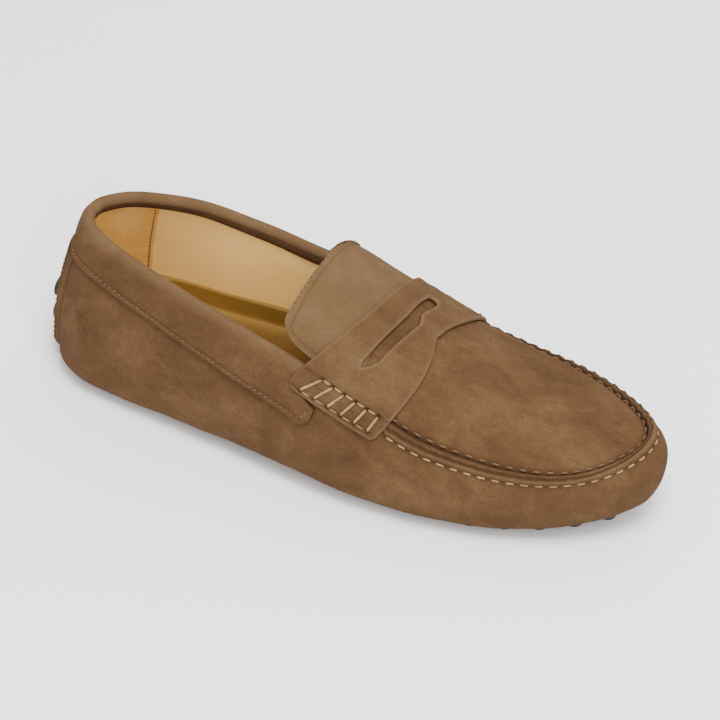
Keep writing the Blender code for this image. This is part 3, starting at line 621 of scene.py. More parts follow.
def linear(code: str) -> tuple[float, float, float, float]:
    """Linear colour of an sRGB hex code.

    Args:
        code: Hash mark and six hexadecimal digits.

    Returns:
        Red, green, blue and 1.
    """
    values = [int(code[i:i + 2], 16) / 255 for i in (1, 3, 5)]
    made = [v / 12.92 if v <= 0.04045 else ((v + 0.055) / 1.055) ** 2.4 for v in values]
    return (made[0], made[1], made[2], 1.0)


def add_node(tree: bpy.types.NodeTree, kind: str, links: dict[str, bpy.types.NodeSocket] | None = None,
             values: dict[str, object] | None = None, **settings: object) -> bpy.types.Node:
    """Node with its settings, input values and incoming links.

    Args:
        tree: Node tree of the material.
        kind: Name of the node's type.
        links: Input names and the sockets that feed them.
        values: Input names and their values.
        settings: Properties of the node.

    Returns:
        The node.
    """
    node = tree.nodes.new(kind)
    for key, value in settings.items():
        setattr(node, key, value)
    for key, value in (values or {}).items():
        node.inputs[int(key) if key.isdigit() else key].default_value = value
    for key, source in (links or {}).items():
        tree.links.new(source, node.inputs[int(key) if key.isdigit() else key])
    return node


def begin(name: str, values: dict[str, object]) -> tuple[bpy.types.Material, bpy.types.Node,
                                                         bpy.types.NodeSocket]:
    """New node material, with what is the same all over set on its shader.

    Args:
        name: Name of the material.
        values: Names of the shader's inputs and their values.

    Returns:
        The material, its shader and the object's coordinates.
    """
    made = bpy.data.materials.new(name)
    made.use_nodes = True
    shader = made.node_tree.nodes["Principled BSDF"]
    for key, value in values.items():
        shader.inputs[key].default_value = value
    return made, shader, add_node(made.node_tree, "ShaderNodeTexCoord").outputs["Object"]


@dataclass(frozen=True)
class Hide:
    """Suede or leather: a drum dyed split brushed to a short nap, or a smooth
    grain side. The nap scatters light at a glance, so it has a sheen and no
    gloss; where it lies one way or the other it looks lighter or darker.

    The patches of the nap are 22 mm wide and their mottling 4.5 mm. A fibre is
    about 0.02 mm thick, too fine to show, so it is drawn as 0.9 mm flecks."""

    name: str
    dark: str
    middle: str
    light: str
    nap: Nap = Nap.BRUSHED
    patch: float = 0.022
    mottle: float = 0.0045
    fibre: float = 0.0009
    roughness: float = 0.92
    sheen: float = 0.30
    bump: float = 0.55
    contrast: float = 1.0
    # Pale colour for rubbed raw edges and wear, and for painted highlights and painted light.
    wear_and_painted_light: str = "#B8977A"
    # Colour that painted shade darkens towards.
    deep: str = "#2C1D12"

    def material(self) -> bpy.types.Material:
        """Node material of the hide: three noises added up give its tone, one mark lightens it towards
        the pale colour for wear, raw edges and painted highlights, another darkens it with painted
        shade, and the two finer noises raise its surface.

        Returns:
            The material.
        """
        made, shader, place = begin(self.name, {
            "Roughness": self.roughness, "Sheen Weight": self.sheen, "Sheen Roughness": 0.45,
            "Sheen Tint": linear(self.light),
            "Specular IOR Level": 0.05 if self.nap is Nap.BRUSHED else 0.22})
        tree = made.node_tree
        lay = add_node(tree, "ShaderNodeMapping", {"Vector": place},
                       {"Rotation": (0.0, 0.25, 0.5), "Scale": (0.75, 1.2, 1.0)}).outputs[0]
        broad, middle, fine, grain = (
            add_node(tree, "ShaderNodeTexNoise", {"Vector": at},
                     {"Scale": 1 / size, "Detail": detail, "Roughness": rough,
                      "Distortion": twist}).outputs["Fac"]
            for at, size, detail, rough, twist in (
                (lay, self.patch, 3.0, 0.55, 0.6), (lay, self.mottle, 4.0, 0.6, 0.4),
                (lay, self.fibre, 3.0, 0.7, 0.0), (place, self.fibre * 0.45, 2.0, 0.6, 0.0)))
        mixed = broad
        for source, share in ((middle, 0.45), (fine, 0.75)):
            mixed = add_node(tree, "ShaderNodeMath", {"0": source, "2": mixed}, {"1": share},
                             operation="MULTIPLY_ADD").outputs[0]
        spread = 0.36 / self.contrast
        ramp = add_node(tree, "ShaderNodeMapRange", {"Value": mixed},
                        {"From Min": 1.1 - spread, "From Max": 1.1 + spread}).outputs[0]
        tone = add_node(tree, "ShaderNodeValToRGB", {"Fac": ramp})
        tone.color_ramp.elements[0].color = linear(self.dark)
        tone.color_ramp.elements[1].color = linear(self.light)
        tone.color_ramp.elements.new(0.5).color = linear(self.middle)
        colour = tone.outputs[0]
        # Lightened for wear, raw edges and painted highlights; darkened with painted shade.
        for mark, code in (("wear_and_painted_light", self.wear_and_painted_light), ("shade", self.deep)):
            share = add_node(tree, "ShaderNodeAttribute", attribute_name=mark).outputs["Fac"]
            colour = add_node(tree, "ShaderNodeMix", {"0": share, "6": colour},
                              {"7": linear(code)}, data_type="RGBA").outputs[2]
        tree.links.new(colour, shader.inputs["Base Color"])
        relief = add_node(tree, "ShaderNodeMath", {"0": middle, "2": grain}, {"1": 0.8},
                          operation="MULTIPLY_ADD").outputs[0]
        bump = add_node(tree, "ShaderNodeBump", {"Height": relief},
                        {"Strength": self.bump, "Distance": 0.0006}).outputs[0]
        tree.links.new(bump, shader.inputs["Normal"])
        return made


@dataclass(frozen=True)
class Plain:
    """Rubber or waxed thread: one colour with a faint drift and fine relief."""

    name: str
    dark: str
    light: str
    grain: float
    roughness: float
    specular: float = 0.4
    sheen: float = 0.0
    bump: float = 0.2

    def material(self) -> bpy.types.Material:
        """Node material of the rubber or thread.

        Returns:
            The material.
        """
        made, shader, place = begin(self.name, {
            "Roughness": self.roughness, "Specular IOR Level": self.specular,
            "Sheen Weight": self.sheen})
        tree = made.node_tree
        drift, fine = (add_node(tree, "ShaderNodeTexNoise", {"Vector": place},
                                {"Scale": 1 / size, "Detail": 3.0}).outputs["Fac"]
                       for size in (self.grain * 8, self.grain))
        tone = add_node(tree, "ShaderNodeValToRGB", {"Fac": drift})
        for stop, position, code in zip(tone.color_ramp.elements, (0.3, 0.7), (self.dark, self.light)):
            stop.position = position
            stop.color = linear(code)
        tree.links.new(tone.outputs[0], shader.inputs["Base Color"])
        bump = add_node(tree, "ShaderNodeBump", {"Height": fine},
                        {"Strength": self.bump, "Distance": 0.0002}).outputs[0]
        tree.links.new(bump, shader.inputs["Normal"])
        return made


# Suede of the upper: a drum dyed split, buffed to a short nap. Soft and dull,
# with lighter and darker patches as the nap lies.
# Its pale colour is for rubbed raw edges, and for painted highlights along the seam's crest and the
# collar's rim.
SUEDE = Hide("brushed_suede", "#3C291A", "#523B26", "#664F36", wear_and_painted_light="#766044", sheen=0.04,
             contrast=0.72)
# Suede lining of the heel: an undyed split, buffed fine. A warm even tan.
HEEL_LINING = Hide("suede_heel_lining", "#D09A48", "#E3AE5C", "#ECC076", patch=0.015,
                   wear_and_painted_light="#E6CA92", sheen=0.12, deep="#8A6224")
# Lining leather: vegetable tanned calf, ironed on its grain side. Pale, with
# a dull shine.
LINING = Hide("smooth_lining_leather", "#F0BA66", "#F8C876", "#FAD388", Nap.SMOOTH, roughness=0.50,
              sheen=0.05, bump=0.10, contrast=0.6, wear_and_painted_light="#F1DCB4", deep="#A67C3C")
# Sock leather: the same, dyed brown, rubbed lighter where the heel stands. Its cupped edge is painted
# lighter against the shade there, and painted shade darkens it towards the toe.
SOCK = Hide("smooth_sock_leather", "#4C3312", "#5F4218", "#745420", Nap.SMOOTH, roughness=0.45,
            sheen=0.05, bump=0.12, contrast=0.8, wear_and_painted_light="#A07A38", deep="#3A270C")
# Rubber of the studs: black, with the fine matt grain of its mould.
RUBBER = Plain("moulded_rubber", "#141517", "#202225", 0.0006, 0.58, 0.30)
# Threads: a thick waxed one, plied, for the hand sewn seams, and two fine
# bonded ones for machine stitches, matt and close to the suede's colour.
THREAD = Plain("waxed_thread", "#7F6543", "#977B57", 0.0004, 0.75, 0.15, 0.05)
FINE_THREAD = Plain("fine_thread", "#563F2A", "#6A5138", 0.0003, 0.8, 0.1, 0.05)
DARK_THREAD = Plain("dark_thread", "#3A2719", "#4A3322", 0.0003, 0.8, 0.15, 0.1)


@dataclass
class Piece:
    """A sub-assembly: it knows the materials, and hands its pieces over."""

    finishes: dict[str, bpy.types.Material] = field(default_factory=dict)

    def dress(self, piece: bpy.types.Object, finish: Hide | Plain, slot: str | None,
              *nodes: str) -> bpy.types.Object:
        """Give a piece its material and its body, and hide the nodes of the solid model that it stands
        for.

        Args:
            piece: The new piece.
            finish: Its finish.
            slot: Not used. The record's material slot, or None for a lining or thread.
            nodes: Nodes of the solid model that it replaces.

        Returns:
            The piece.
        """
        if finish.name not in self.finishes:
            self.finishes[finish.name] = finish.material()
        piece.data.materials.append(self.finishes[finish.name])
        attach(piece, "root")
        if nodes:
            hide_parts(*nodes)
        LOG.info("%s: %d faces", piece.name, len(piece.data.polygons))
        return piece

    def sew(self, name: str, lines: list[tuple[Array, Array]], seam: Seam, finish: Plain) -> None:
        """Rows of running stitches as one piece.

        Args:
            name: Name of the piece.
            lines: Points of each row, with the directions away from the
                surface there.
            seam: How the stitches are set.
            finish: Finish of the thread.
        """
        made = [running(line, ups, seam) for line, ups in lines]
        paths, ups = (np.concatenate([row[k] for row in made]) for k in (0, 1))
        self.dress(tubes(name, paths, ups, seam.radius, 6), finish, None)


@dataclass
class Wrap(Piece):
    """The wrap of the upper: from the panel seam under the foot up to the top edge, with its listed
    creases, and the raised roll of the seam."""

    around: int = 720
    pitch: float = 0.0058
    roll_height: float = 0.0029
    roll_from: float = -0.0052
    roll_to: float = 0.0015
    stitch_at: float = -0.0029
    inner_stitch_at: float = 0.0022
    outside: Seam = Seam(pitch, 0.67, 0.0005, 0.00060)
    inside: Seam = Seam(pitch, 0.55, 0.0, 0.00042)
    crest: float = -0.0007
    roll_columns: int = 44
    steps_per_stitch: int = 10
    # Share of length, drop, length of the crease, width, depth, slant. Both
    # sides have the same soft creases.
    creases: Table = (
        (0.60, 0.016, 0.020, 0.0040, 0.00084, 0.6), (0.66, 0.020, 0.024, 0.0045, 0.00098, 0.3),
        (0.50, 0.022, 0.030, 0.0060, 0.00112, -0.5), (0.36, 0.030, 0.034, 0.0080, 0.00126, 0.8),
        (0.22, 0.036, 0.026, 0.0070, 0.00112, -0.7), (0.74, 0.014, 0.018, 0.0045, 0.00070, -0.4),
        (0.30, 0.044, 0.030, 0.0090, 0.00098, 0.2),
    )

    def crease(self, angle: Array, drop: Array) -> Array:
        """Depth of the creases: each a trough across its slanted line, fading
        along it, with half as high a ridge beside it.

        Args:
            angle: Angles round the shoe.
            drop: Distances down the ribs.

        Returns:
            Heights over the plain wall.
        """
        point = LAST.down(angle, drop)
        share, total = LAST.share_of(point[..., 0]), np.zeros(drop.shape)
        for at, low, length, width, depth, slant in self.creases:
            along, down = (share - at) * LAST.length, drop - low
            across = (down - along * slant) / math.hypot(1, slant)
            run = (along + down * slant) / math.hypot(1, slant)
            fold = 0.5 * hill(across, width, width) - hill(across, 0, width)
            total += depth * hill(run, 0.0, length / 2) * fold
        return total

    def skin(self) -> Array:
        """Grid of the outer face: points every 1 mm near the top edge, then
        even shares of what is left of each rib.

        Returns:
            Points, shape (angles, places, 3).
        """
        angle = np.arange(self.around) * TURN / self.around
        ribs = LAST.wall(angle)
        near = np.arange(0, 9) * 0.0010
        rest = np.linspace(0, 1, 60)[None, 1:]
        total = lengths(ribs)[:, None]
        drop = np.concatenate([np.broadcast_to(near, (len(angle), len(near))),
                               near[-1] + (total - near[-1]) * rest], 1)
        grid = resample(ribs, drop)
        normal = grid_normals(grid, closed=True)
        lumps = (np.sin(angle * 17 + 1.3) * np.sin(angle * 7))[:, None]
        swell = 0.00018 * lumps * step(0.006, 0.02, drop)
        offset = self.crease(angle, drop) * step(0.003, 0.010, drop) * step(0, 0.02, total - drop)
        self.drop, self.total, self.plain = drop, total, grid
        return grid + normal * (offset + swell)[..., None]

    def build(self) -> None:
        """The wrap, then the roll of the seam with its stitches."""
        grid = self.skin()
        inner = self.plain - grid_normals(self.plain, closed=True) * LAST.wall_thick
        wear_and_painted_light = 0.25 * hill(self.drop, 0.0, 0.002) + 0.15 * step(0.02, 0.0, self.total - self.drop)
        shade = 0.35 * hill(self.total - self.drop, 0.0, 0.0012)
        wrap = shell("upper_wrap", grid, inner, closed=True, marks={"wear_and_painted_light": wear_and_painted_light, "shade": shade})
        self.dress(wrap, SUEDE, "suede", "upper")
        self.seam()

    def seam_base(self, angle: Array, inset: Array) -> Array:
        """Surface under the seam roll: the wrap where the inset is below 0,
        and above it the plug, at that distance in from the top edge along
        the line to the plug's spine.

        Args:
            angle: Angles round the shoe.
            inset: Distances in from the top edge.

        Returns:
            Points, shape (angles, insets, 3).
        """
        edge = LAST.ring(LAST.top, angle)
        toward = unit(Plug.spine(angle) - edge[:, :2])
        flat = edge[:, None, :2] + toward[:, None] * np.maximum(inset, 0)[..., None]
        plug = np.concatenate([flat, LAST.crown_z(flat[..., 0], flat[..., 1])[..., None]], -1)
        wall = LAST.down(angle, np.maximum(-inset, 0))
        return np.where((inset < 0)[..., None], wall, plug)

    def seam_span(self) -> tuple[float, float]:
        """Angles at which the roll comes out from under the strap.

        Returns:
            Angle at the outer end and at the inner end.
        """
        outer = LAST.ring_angle(LAST.top, 0.606)
        inner = TURN - LAST.ring_angle(LAST.top, 0.645)
        return float(outer), float(inner)

    def seam(self) -> None:
        """Roll of the gathered edge: it rises smoothly from the wrap by a
        smooth step, and falls in a quarter circle into the crease at the
        plug. Between stitches it swells."""
        low, high = self.seam_span()
        dense = np.linspace(low, high, 2401)
        line = LAST.ring(LAST.top, dense)
        run = run_along(line)
        count = int(round(run[-1] / self.pitch))
        angle = np.interp(np.linspace(0, run[-1], count * self.steps_per_stitch + 1), run, dense)
        inset = np.linspace(self.roll_from, self.roll_to, self.roll_columns)
        inset = np.broadcast_to(inset, (len(angle), self.roll_columns))
        base = self.seam_base(angle, inset)
        normal = grid_normals(base)
        for _ in range(6):
            normal[:, 1:-1] = (normal[:, :-2] + normal[:, 1:-1] + normal[:, 2:]) / 3
        normal = -unit(normal)
        rise = step(self.roll_from, self.crest, inset)
        fall = np.sqrt(np.clip(1 - ((inset - self.crest) / (self.roll_to - self.crest)) ** 2, 0, 1))
        height = np.where(inset < self.crest, rise, fall)
        phase = np.arange(len(angle))[:, None] / self.steps_per_stitch * TURN
        gather = 1 - 0.15 * np.cos(phase) * step(-0.0025, -0.0005, inset)
        gather += 0.05 * np.sin(phase * 2.6 + inset * 900) + 0.04 * np.sin(phase * 4.3 - inset * 1500)
        groove = 0.00040 * hill(inset, self.stitch_at, 0.0006)
        layers = 0.00055 * hill(inset, 0.0003, 0.00028)
        lift = self.roll_height * height * gather - groove - layers - 0.0003
        lift[:, 0] = -0.0006
        outer = base + normal * lift[..., None]
        inner = base - normal * 0.0010
        # Painted highlight along the roll's crest; painted shade in the crease at the plug, along the
        # layers and in the stitch groove.
        wear_and_painted_light = 0.25 * hill(inset, self.crest, 0.0008)
        shade = (0.9 * step(0.0007, self.roll_to, inset) + 0.7 * hill(inset, 0.0003, 0.0003)
                 + 0.45 * hill(inset, self.stitch_at, 0.0007))
        roll = shell("seam_roll", outer, inner, marks={"wear_and_painted_light": wear_and_painted_light, "shade": shade})
        self.dress(roll, SUEDE, "suede")
        self.stitch(dense, run, count)

    def stitch(self, dense: Array, run: Array, count: int) -> None:
        """Thick waxed stitches outside the roll, and fine thread in the crease inside it.

        Args:
            dense: Close angles along the seam.
            run: Length of the seam up to each.
            count: Number of stitches.
        """
        at = np.arange(count) * run[-1] / count
        for name, inset, seam in (("seam_stitches", self.stitch_at, self.outside),
                                  ("seam_stitches_inside", self.inner_stitch_at, self.inside)):
            start = np.interp(at + self.pitch * (1 - seam.shown) / 2, run, dense)
            end = np.interp(at + self.pitch * (1 + seam.shown) / 2, run, dense)
            middle = (start + end) / 2
            flat = np.full((count, 1), inset)
            points = [self.seam_base(a, flat)[:, 0] for a in (start, end)]
            around = self.seam_base(middle + 0.01, flat) - self.seam_base(middle - 0.01, flat)
            across = self.seam_base(middle, flat + 0.0006) - self.seam_base(middle, flat - 0.0006)
            up = unit(np.cross(around[:, 0], across[:, 0]))
            up *= np.sign(up[:, 2:3] + 0.2)
            lifted = (point + up * seam.high for point in points)
            paths = bowed(*lifted, up, 0.0002, 0.0012, 17)
            ups = np.broadcast_to(up[:, None], paths.shape)
            thread = tubes(name, paths, ups, seam.radius, 10, 2)
            self.dress(thread, THREAD if inset < 0 else FINE_THREAD, None)


@dataclass
class Plug(Piece):
    """The plug over the toes and instep."""

    rear: float = 0.520
    start: float = 0.0006
    columns: int = 64

    @staticmethod
    def spine(angle: Array) -> Array:
        """Point of the middle line that a point of the edge faces: straight
        across at the sides, and the same last point all round the toe.

        Args:
            angle: Angles round the shoe.

        Returns:
            Places along X and Y.
        """
        edge = LAST.ring(LAST.top, angle)
        share = np.minimum(LAST.share_of(edge[:, 0]), 0.872)
        middle = column(LAST.crown, 1, share) * LAST.ball_width
        return np.stack([LAST.place_of(share), middle], -1)

    def build(self) -> None:
        """Skin in lines from the crease at the edge to the middle line, with
        the dip beside the crease and two long soft folds over the toes."""
        first = LAST.ring_angle(LAST.top, self.rear)
        angle = np.linspace(first, TURN - first, 481)
        edge = LAST.ring(LAST.top, angle)
        reach = self.spine(angle) - edge[:, :2]
        distance = np.linalg.norm(reach, axis=1)[:, None]
        share = np.linspace(0, 1, self.columns)[None] ** 1.6
        inset = self.start + (distance - self.start) * share
        flat = edge[:, None, :2] + unit(reach)[:, None] * inset[..., None]
        height = LAST.crown_z(flat[..., 0], flat[..., 1])
        x, y = flat[..., 0], flat[..., 1]
        dip = -0.0010 * hill(inset, 0.0018, 0.0015) + 0.0006 * hill(inset, 0.0070, 0.0035)
        fold = (0.00030 * np.sin((x + 0.6 * y) / 0.0085) * hill(x, 0.200, 0.022)
                + 0.00024 * np.sin((x - 0.5 * y) / 0.0120 + 1.0) * hill(x, 0.150, 0.022))
        share_x = LAST.share_of(x)
        dive = 0.0021 * step(0.556, 0.532, share_x)
        lift = dip * step(0.595, 0.62, share_x) + fold * step(0.004, 0.016, inset) - dive
        top = np.stack([x, y, height + lift], -1)
        normal = -grid_normals(top)
        inner = top - normal * LAST.wall_thick
        marks = {"wear_and_painted_light": 0 * inset, "shade": 0.7 * hill(inset, 0.0014, 0.0013)}
        plug = shell("plug_skin", top, inner, open_end=True, marks=marks)
        self.dress(plug, SUEDE, "suede", "plug")


@dataclass
class Tongue(Piece):
    """The tongue behind the plug, its edge stitched all round."""

    seam: Seam = Seam(0.0026, 0.62, 0.0004, 0.00032)
    edge: float = 0.0009
    front: float = 0.552
    top: float = 0.433
    thick: float = 0.0018
    inset: float = 0.0060
    taper: float = 0.0040
    corner: float = 0.0085
    slant: float = 0.0055
    lift: float = 0.00015
    half_width: float = 0.036

    def surface(self, back: Array, across: Array) -> Array:
        """Points of the tongue: a share of the way back along X, and a share
        across the curve over the instep between its two sides, whose inset
        grows in a quarter circle at the corners.

        Args:
            back: Shares of the way back.
            across: Shares across, from -1 to 1.

        Returns:
            Points, shape (back, across, 3).
        """
        long = LAST.place_of(self.front) - LAST.place_of(self.top)
        share = self.front - (self.front - self.top) * back
        turn = np.clip(1 - (1 - back) * long / self.corner, 0, 1)
        inset = self.inset + self.taper * back + self.corner * (1 - np.sqrt(1 - turn ** 2))
        paths = LAST.over(share)
        total = lengths(paths)[:, None]
        at = inset[:, None] + (total - 2 * inset[:, None]) * (1 + across) / 2
        points = resample(paths, at)
        points[..., 0] += self.slant * across * back[:, None]
        points[..., 2] += self.lift
        return points

    def build(self) -> None:
        """Skin with a rounded edge, then its edge stitching."""
        back = np.sin(np.linspace(math.pi / 2, 0, 60))
        across = np.broadcast_to(np.sin(np.linspace(-math.pi / 2, math.pi / 2, 80)), (60, 80))
        grid = self.surface(back, across)
        normal = -grid_normals(grid)
        rear = (1 - back)[:, None] * (self.front - self.top) * LAST.length
        near = np.minimum((1 - np.abs(across)) * self.half_width, rear)
        rounded = eased(near, self.edge)
        puff = 0.0004 * step(0.0012, 0.0045, near) - 0.00025 * hill(near, 0.0026, 0.0006)
        outer = grid + normal * (puff - (1 - rounded) * self.thick / 2)[..., None]
        inner = grid - normal * (self.thick - (1 - rounded) * self.thick / 2)[..., None]
        marks = {"wear_and_painted_light": 0.25 + 0.5 * hill(near, 0.0, 0.0008),
                 "shade": 0.25 * hill(near, 0.0026, 0.0005)}
        self.dress(shell("tongue_skin", outer, inner, marks=marks), SUEDE, "suede", "tongue")
        self.stitch(grid, normal)

    def stitch(self, grid: Array, normal: Array) -> None:
        """Small stitches 2.6 mm inside the edge, 2.6 mm apart.

        Args:
            grid: Points of the tongue.
            normal: Normals there.
        """
        rows, columns = 7, 5
        side = np.concatenate([grid[::-1, columns][:-rows], grid[rows, columns:-columns],
                               grid[rows:, -columns - 1]])
        up = np.concatenate([normal[::-1, columns][:-rows], normal[rows, columns:-columns],
                             normal[rows:, -columns - 1]])
        shown = LAST.share_of(side[:, 0]) < 0.545
        self.sew("tongue_stitches", [(side[shown], up[shown])], self.seam, FINE_THREAD)


@dataclass
class Strap(Piece):
    """The slotted strap, whose ends are sewn down over a padded roll."""

    thick: float = 0.0020
    clear: float = 0.0005
    edge: float = 0.0009
    lane: int = 34
    # Length on the shoe of one unit of place, over the plug and at the ends.
    place_size: float = 0.068
    end_size: float = 0.034
    end_radius: float = 0.0032
    thread: float = 0.00056
    row_thread: float = 0.00045
    # Place across from -1 at the outer end to 1 at the inner end, then rear
    # edge and front edge as shares of the length.
    outline: Table = (
        (-1.15, 0.446, 0.590), (-1.00, 0.448, 0.594), (-0.80, 0.457, 0.607), (-0.60, 0.482, 0.623),
        (-0.40, 0.505, 0.633),
        (-0.15, 0.526, 0.6315), (0.00, 0.534, 0.624), (0.15, 0.540, 0.6315), (0.40, 0.546, 0.647),
        (0.80, 0.536, 0.657), (1.00, 0.530, 0.655), (1.15, 0.526, 0.654),
    )
    slot: Table = (
        (-0.53, 0.5465, 0.5485), (-0.50, 0.546, 0.556), (-0.44, 0.550, 0.567),
        (-0.13, 0.568, 0.587), (0.00, 0.574, 0.594), (0.10, 0.576, 0.589), (0.22, 0.579, 0.597),
        (0.30, 0.582, 0.598), (0.33, 0.585, 0.595),
    )
    holes: int = 6
    hole_top: float = -0.735
    hole_bottom: float = -0.975
    hole_rise: float = 0.035
    # Outer and inner end: shares of the length of the first and last hole of
    # the upper row, then of the lower row.
    spans: Table = ((0.498, 0.594, 0.470, 0.582), (0.558, 0.640, 0.545, 0.640))
    roll_height: float = 0.0026
    slope: float = 0.10

    def __post_init__(self) -> None:
        """Table of points under the strap: stations along X, places across."""
        self.stations = np.linspace(0.440, 0.680, 81)
        self.places = np.linspace(-1.2, 1.2, 401)
        angle = LAST.ring_angle(LAST.top, self.stations)
        paths = LAST.over(self.stations)
        share = (1 + np.clip(self.places / LAST.seam_at, -1, 1)) / 2
        net = resample(paths, lengths(paths)[:, None] * share[None])
        scale = LAST.strap_end / (1 - LAST.seam_at)
        for sign, turn in ((-1, angle), (1, TURN - angle)):
            longer = 1 + self.slope * np.clip((0.60 - self.stations) / 0.13, 0, 1.2)[:, None]
            beyond = np.maximum(sign * self.places - LAST.seam_at, 0)[None] * scale * longer
            net = np.where((beyond > 0)[..., None], LAST.down(turn, beyond), net)
        self.net = net

    def under(self, place: Array, share: Array) -> Array:
        """Points on the shoe under the strap, read from the table in straight
        lines both ways.

        Args:
            place: Places across, from -1 at the outer end to 1.
            share: Shares of the length.

        Returns:
            Points.
        """
        i = np.clip((share - self.stations[0]) / (self.stations[1] - self.stations[0]), 0,
                    len(self.stations) - 1.001)
        k = np.clip((place - self.places[0]) / (self.places[1] - self.places[0]), 0,
                    len(self.places) - 1.001)
        low, col = i.astype(int), k.astype(int)
        a, b = (i - low)[..., None], (k - col)[..., None]
        net = self.net
        first = net[low, col] * (1 - b) + net[low, col + 1] * b
        second = net[low + 1, col] * (1 - b) + net[low + 1, col + 1] * b
        return first * (1 - a) + second * a

    def normals(self, place: Array, share: Array) -> Array:
        """Normals under the strap, from wide steps so that creases of the
        shoe below are bridged.

        Args:
            place: Places across, from -1 at the outer end to 1.
            share: Shares of the length.

        Returns:
            Normals.
        """
        along = self.under(place, share + 0.006) - self.under(place, share - 0.006)
        across = self.under(place + 0.05, share) - self.under(place - 0.05, share)
        return unit(np.cross(along, across))

    def edges(self, place: Array) -> tuple[Array, Array]:
        """Rear and front edge of the strap, with straight sides meeting in
        the point of its front edge, and rounded ends.

        Args:
            place: Places across, from -1 at the outer end to 1.

        Returns:
            Shares of the length, rear and front.
        """
        rows = np.array(self.outline)
        rear = hermite(rows[:, 0], rows[:, 1], place)
        side = hermite(rows[:, 0], rows[:, 2], place)
        tip = np.interp(place, rows[:, 0], rows[:, 2])
        return rear, np.where(np.abs(place) < 0.15, tip, side)

    def swell(self, place: Array, share: Array) -> Array:
        """Extra height: the padded roll between the two rows of holes, drawn
        in where each thread crosses it, and the step up over the band.

        Args:
            place: Places across, from -1 at the outer end to 1.
            share: Shares of the length.

        Returns:
            Heights.
        """
        total = np.zeros(place.shape)
        for sign, span in zip((-1, 1), self.spans):
            bottom = np.interp(share, span[2:], (self.hole_bottom, self.hole_bottom + self.hole_rise))
            t = (sign * place + self.hole_top) / (self.hole_top - bottom)
            inside = (t > 0) & (t < 1)
            rear, front = self.edges(place)
            end = (step(0.0, 0.004, (share - rear) * LAST.length)
                   * step(0.0, 0.004, (front - share) * LAST.length))
            first, low = span[0] + (span[2] - span[0]) * t, span[1] + (span[3] - span[1]) * t
            thread = (share - first) / (low - first) * (self.holes - 1)
            draw = np.cos(TURN * thread) ** 3
            arch = np.sqrt(np.clip(np.sin(math.pi * np.clip(t, 0, 1)), 0, 1))
            total += inside * self.roll_height * arch * (1 - 0.22 * (1 + draw) / 2) * end
        low = step(0.93, 0.99, np.abs(place)) * step(0.502, 0.492, share)
        band = np.maximum(step(0.486, 0.477, share), low) * step(0.76, 0.84, np.abs(place))
        return total + 0.0016 * band

    def rows(self, end: int) -> tuple[Array, Array]:
        """Upper and lower row of holes of an end, place across and share.

        Args:
            end: 0 for the outer end, 1 for the inner one.

        Returns:
            Both rows, from rear to front.
        """
        sign, span = (1, -1)[end], self.spans[end]
        low = np.linspace(self.hole_bottom, self.hole_bottom + self.hole_rise, self.holes)
        return (np.stack([np.full(self.holes, sign * self.hole_top),
                          np.linspace(span[0], span[1], self.holes)], -1),
                np.stack([sign * low, np.linspace(span[2], span[3], self.holes)], -1))

    def on(self, place: Array, share: Array, off: Array | float) -> Array:
        """Points standing off the strap's own outer face."""
        high = self.clear + self.thick + self.swell(place, share) + off
        return self.under(place, share) + self.normals(place, share) * high[..., None]

    def build(self) -> None:
        """Two lanes, behind and in front of the slot, that are one skin where
        there is no slot; every cut edge is rounded over 0.9 mm."""
        rows = np.array(self.slot)
        ends = (rows[0, 0], rows[-1, 0])
        place = np.concatenate([np.linspace(-1.035, -0.56, 80)[:-1], np.linspace(-0.56, 0.36, 130),
                                np.linspace(0.36, 1.035, 80)[1:]])
        rear, front = self.edges(place)
        slot_rear, slot_front = (np.interp(place, rows[:, 0], rows[:, k]) for k in (1, 2))
        middle = (slot_rear + slot_front) / 2
        inside = (place > ends[0]) & (place < ends[1])
        cut_rear, cut_front = (np.where(inside, side, middle) for side in (slot_rear, slot_front))
        line = np.concatenate([rows[:, [0, 1]], rows[::-1, [0, 2]]])
        dense = np.linspace(0, 1, 12)[None, :, None]
        line = (line[:-1, None] + (line[1:] - line[:-1])[:, None] * dense).reshape(-1, 2)
        pieces = []
        for low, high in ((rear, cut_rear), (cut_front, front)):
            t = 0.5 - 0.5 * np.cos(np.linspace(0, math.pi, self.lane))
            ends_round = self.corner(place, self.end_radius)
            lo = np.where(low is rear, low + ends_round, low)
            hi = np.where(high is front, high - ends_round, high)
            share = lo[:, None] + (hi - lo)[:, None] * t[None]
            where = np.broadcast_to(place[:, None], share.shape)
            flat = np.stack([where * self.place_size, share * LAST.length], -1)
            cut = line * (self.place_size, LAST.length)
            gap = np.linalg.norm(flat[:, :, None] - cut[None, None], axis=-1)
            slot_gap = np.where(gap.min(-1) < 0.02, gap.min(-1), 1.0)
            near = np.minimum((share - rear[:, None] - ends_round[:, None]) * LAST.length,
                              (front[:, None] - ends_round[:, None] - share) * LAST.length)
            near = np.minimum(near, np.minimum(where - place[0], place[-1] - where) * self.end_size)
            near = np.minimum(near, slot_gap)
            pieces.append((where, share, np.maximum(near, 0)))
        where, share, near = (np.concatenate([a[k] for a in pieces], 1) for k in range(3))
        rounded = eased(near, self.edge)
        normal = self.normals(where, share)
        base = self.under(where, share)
        puff = self.swell(where, share) + 0.00015 * np.sin(where * 30) * np.sin(share * 260)
        high = self.clear + self.thick * (0.25 + 0.75 * rounded) + puff * rounded
        outer = base + normal * high[..., None]
        inner = base + normal * (self.clear + self.thick * 0.25 * (1 - rounded))[..., None]
        rows = np.concatenate(self.rows(0) + self.rows(1))
        marks = self.under(rows[:, 0], rows[:, 1])
        hole = hill(np.linalg.norm(base[:, :, None] - marks, axis=-1).min(-1), 0.0, 0.0008)
        outer -= normal * 0.0009 * hole[..., None]
        wear_and_painted_light = 0.04 + 0.5 * hill(near, 0.0, 0.0009)
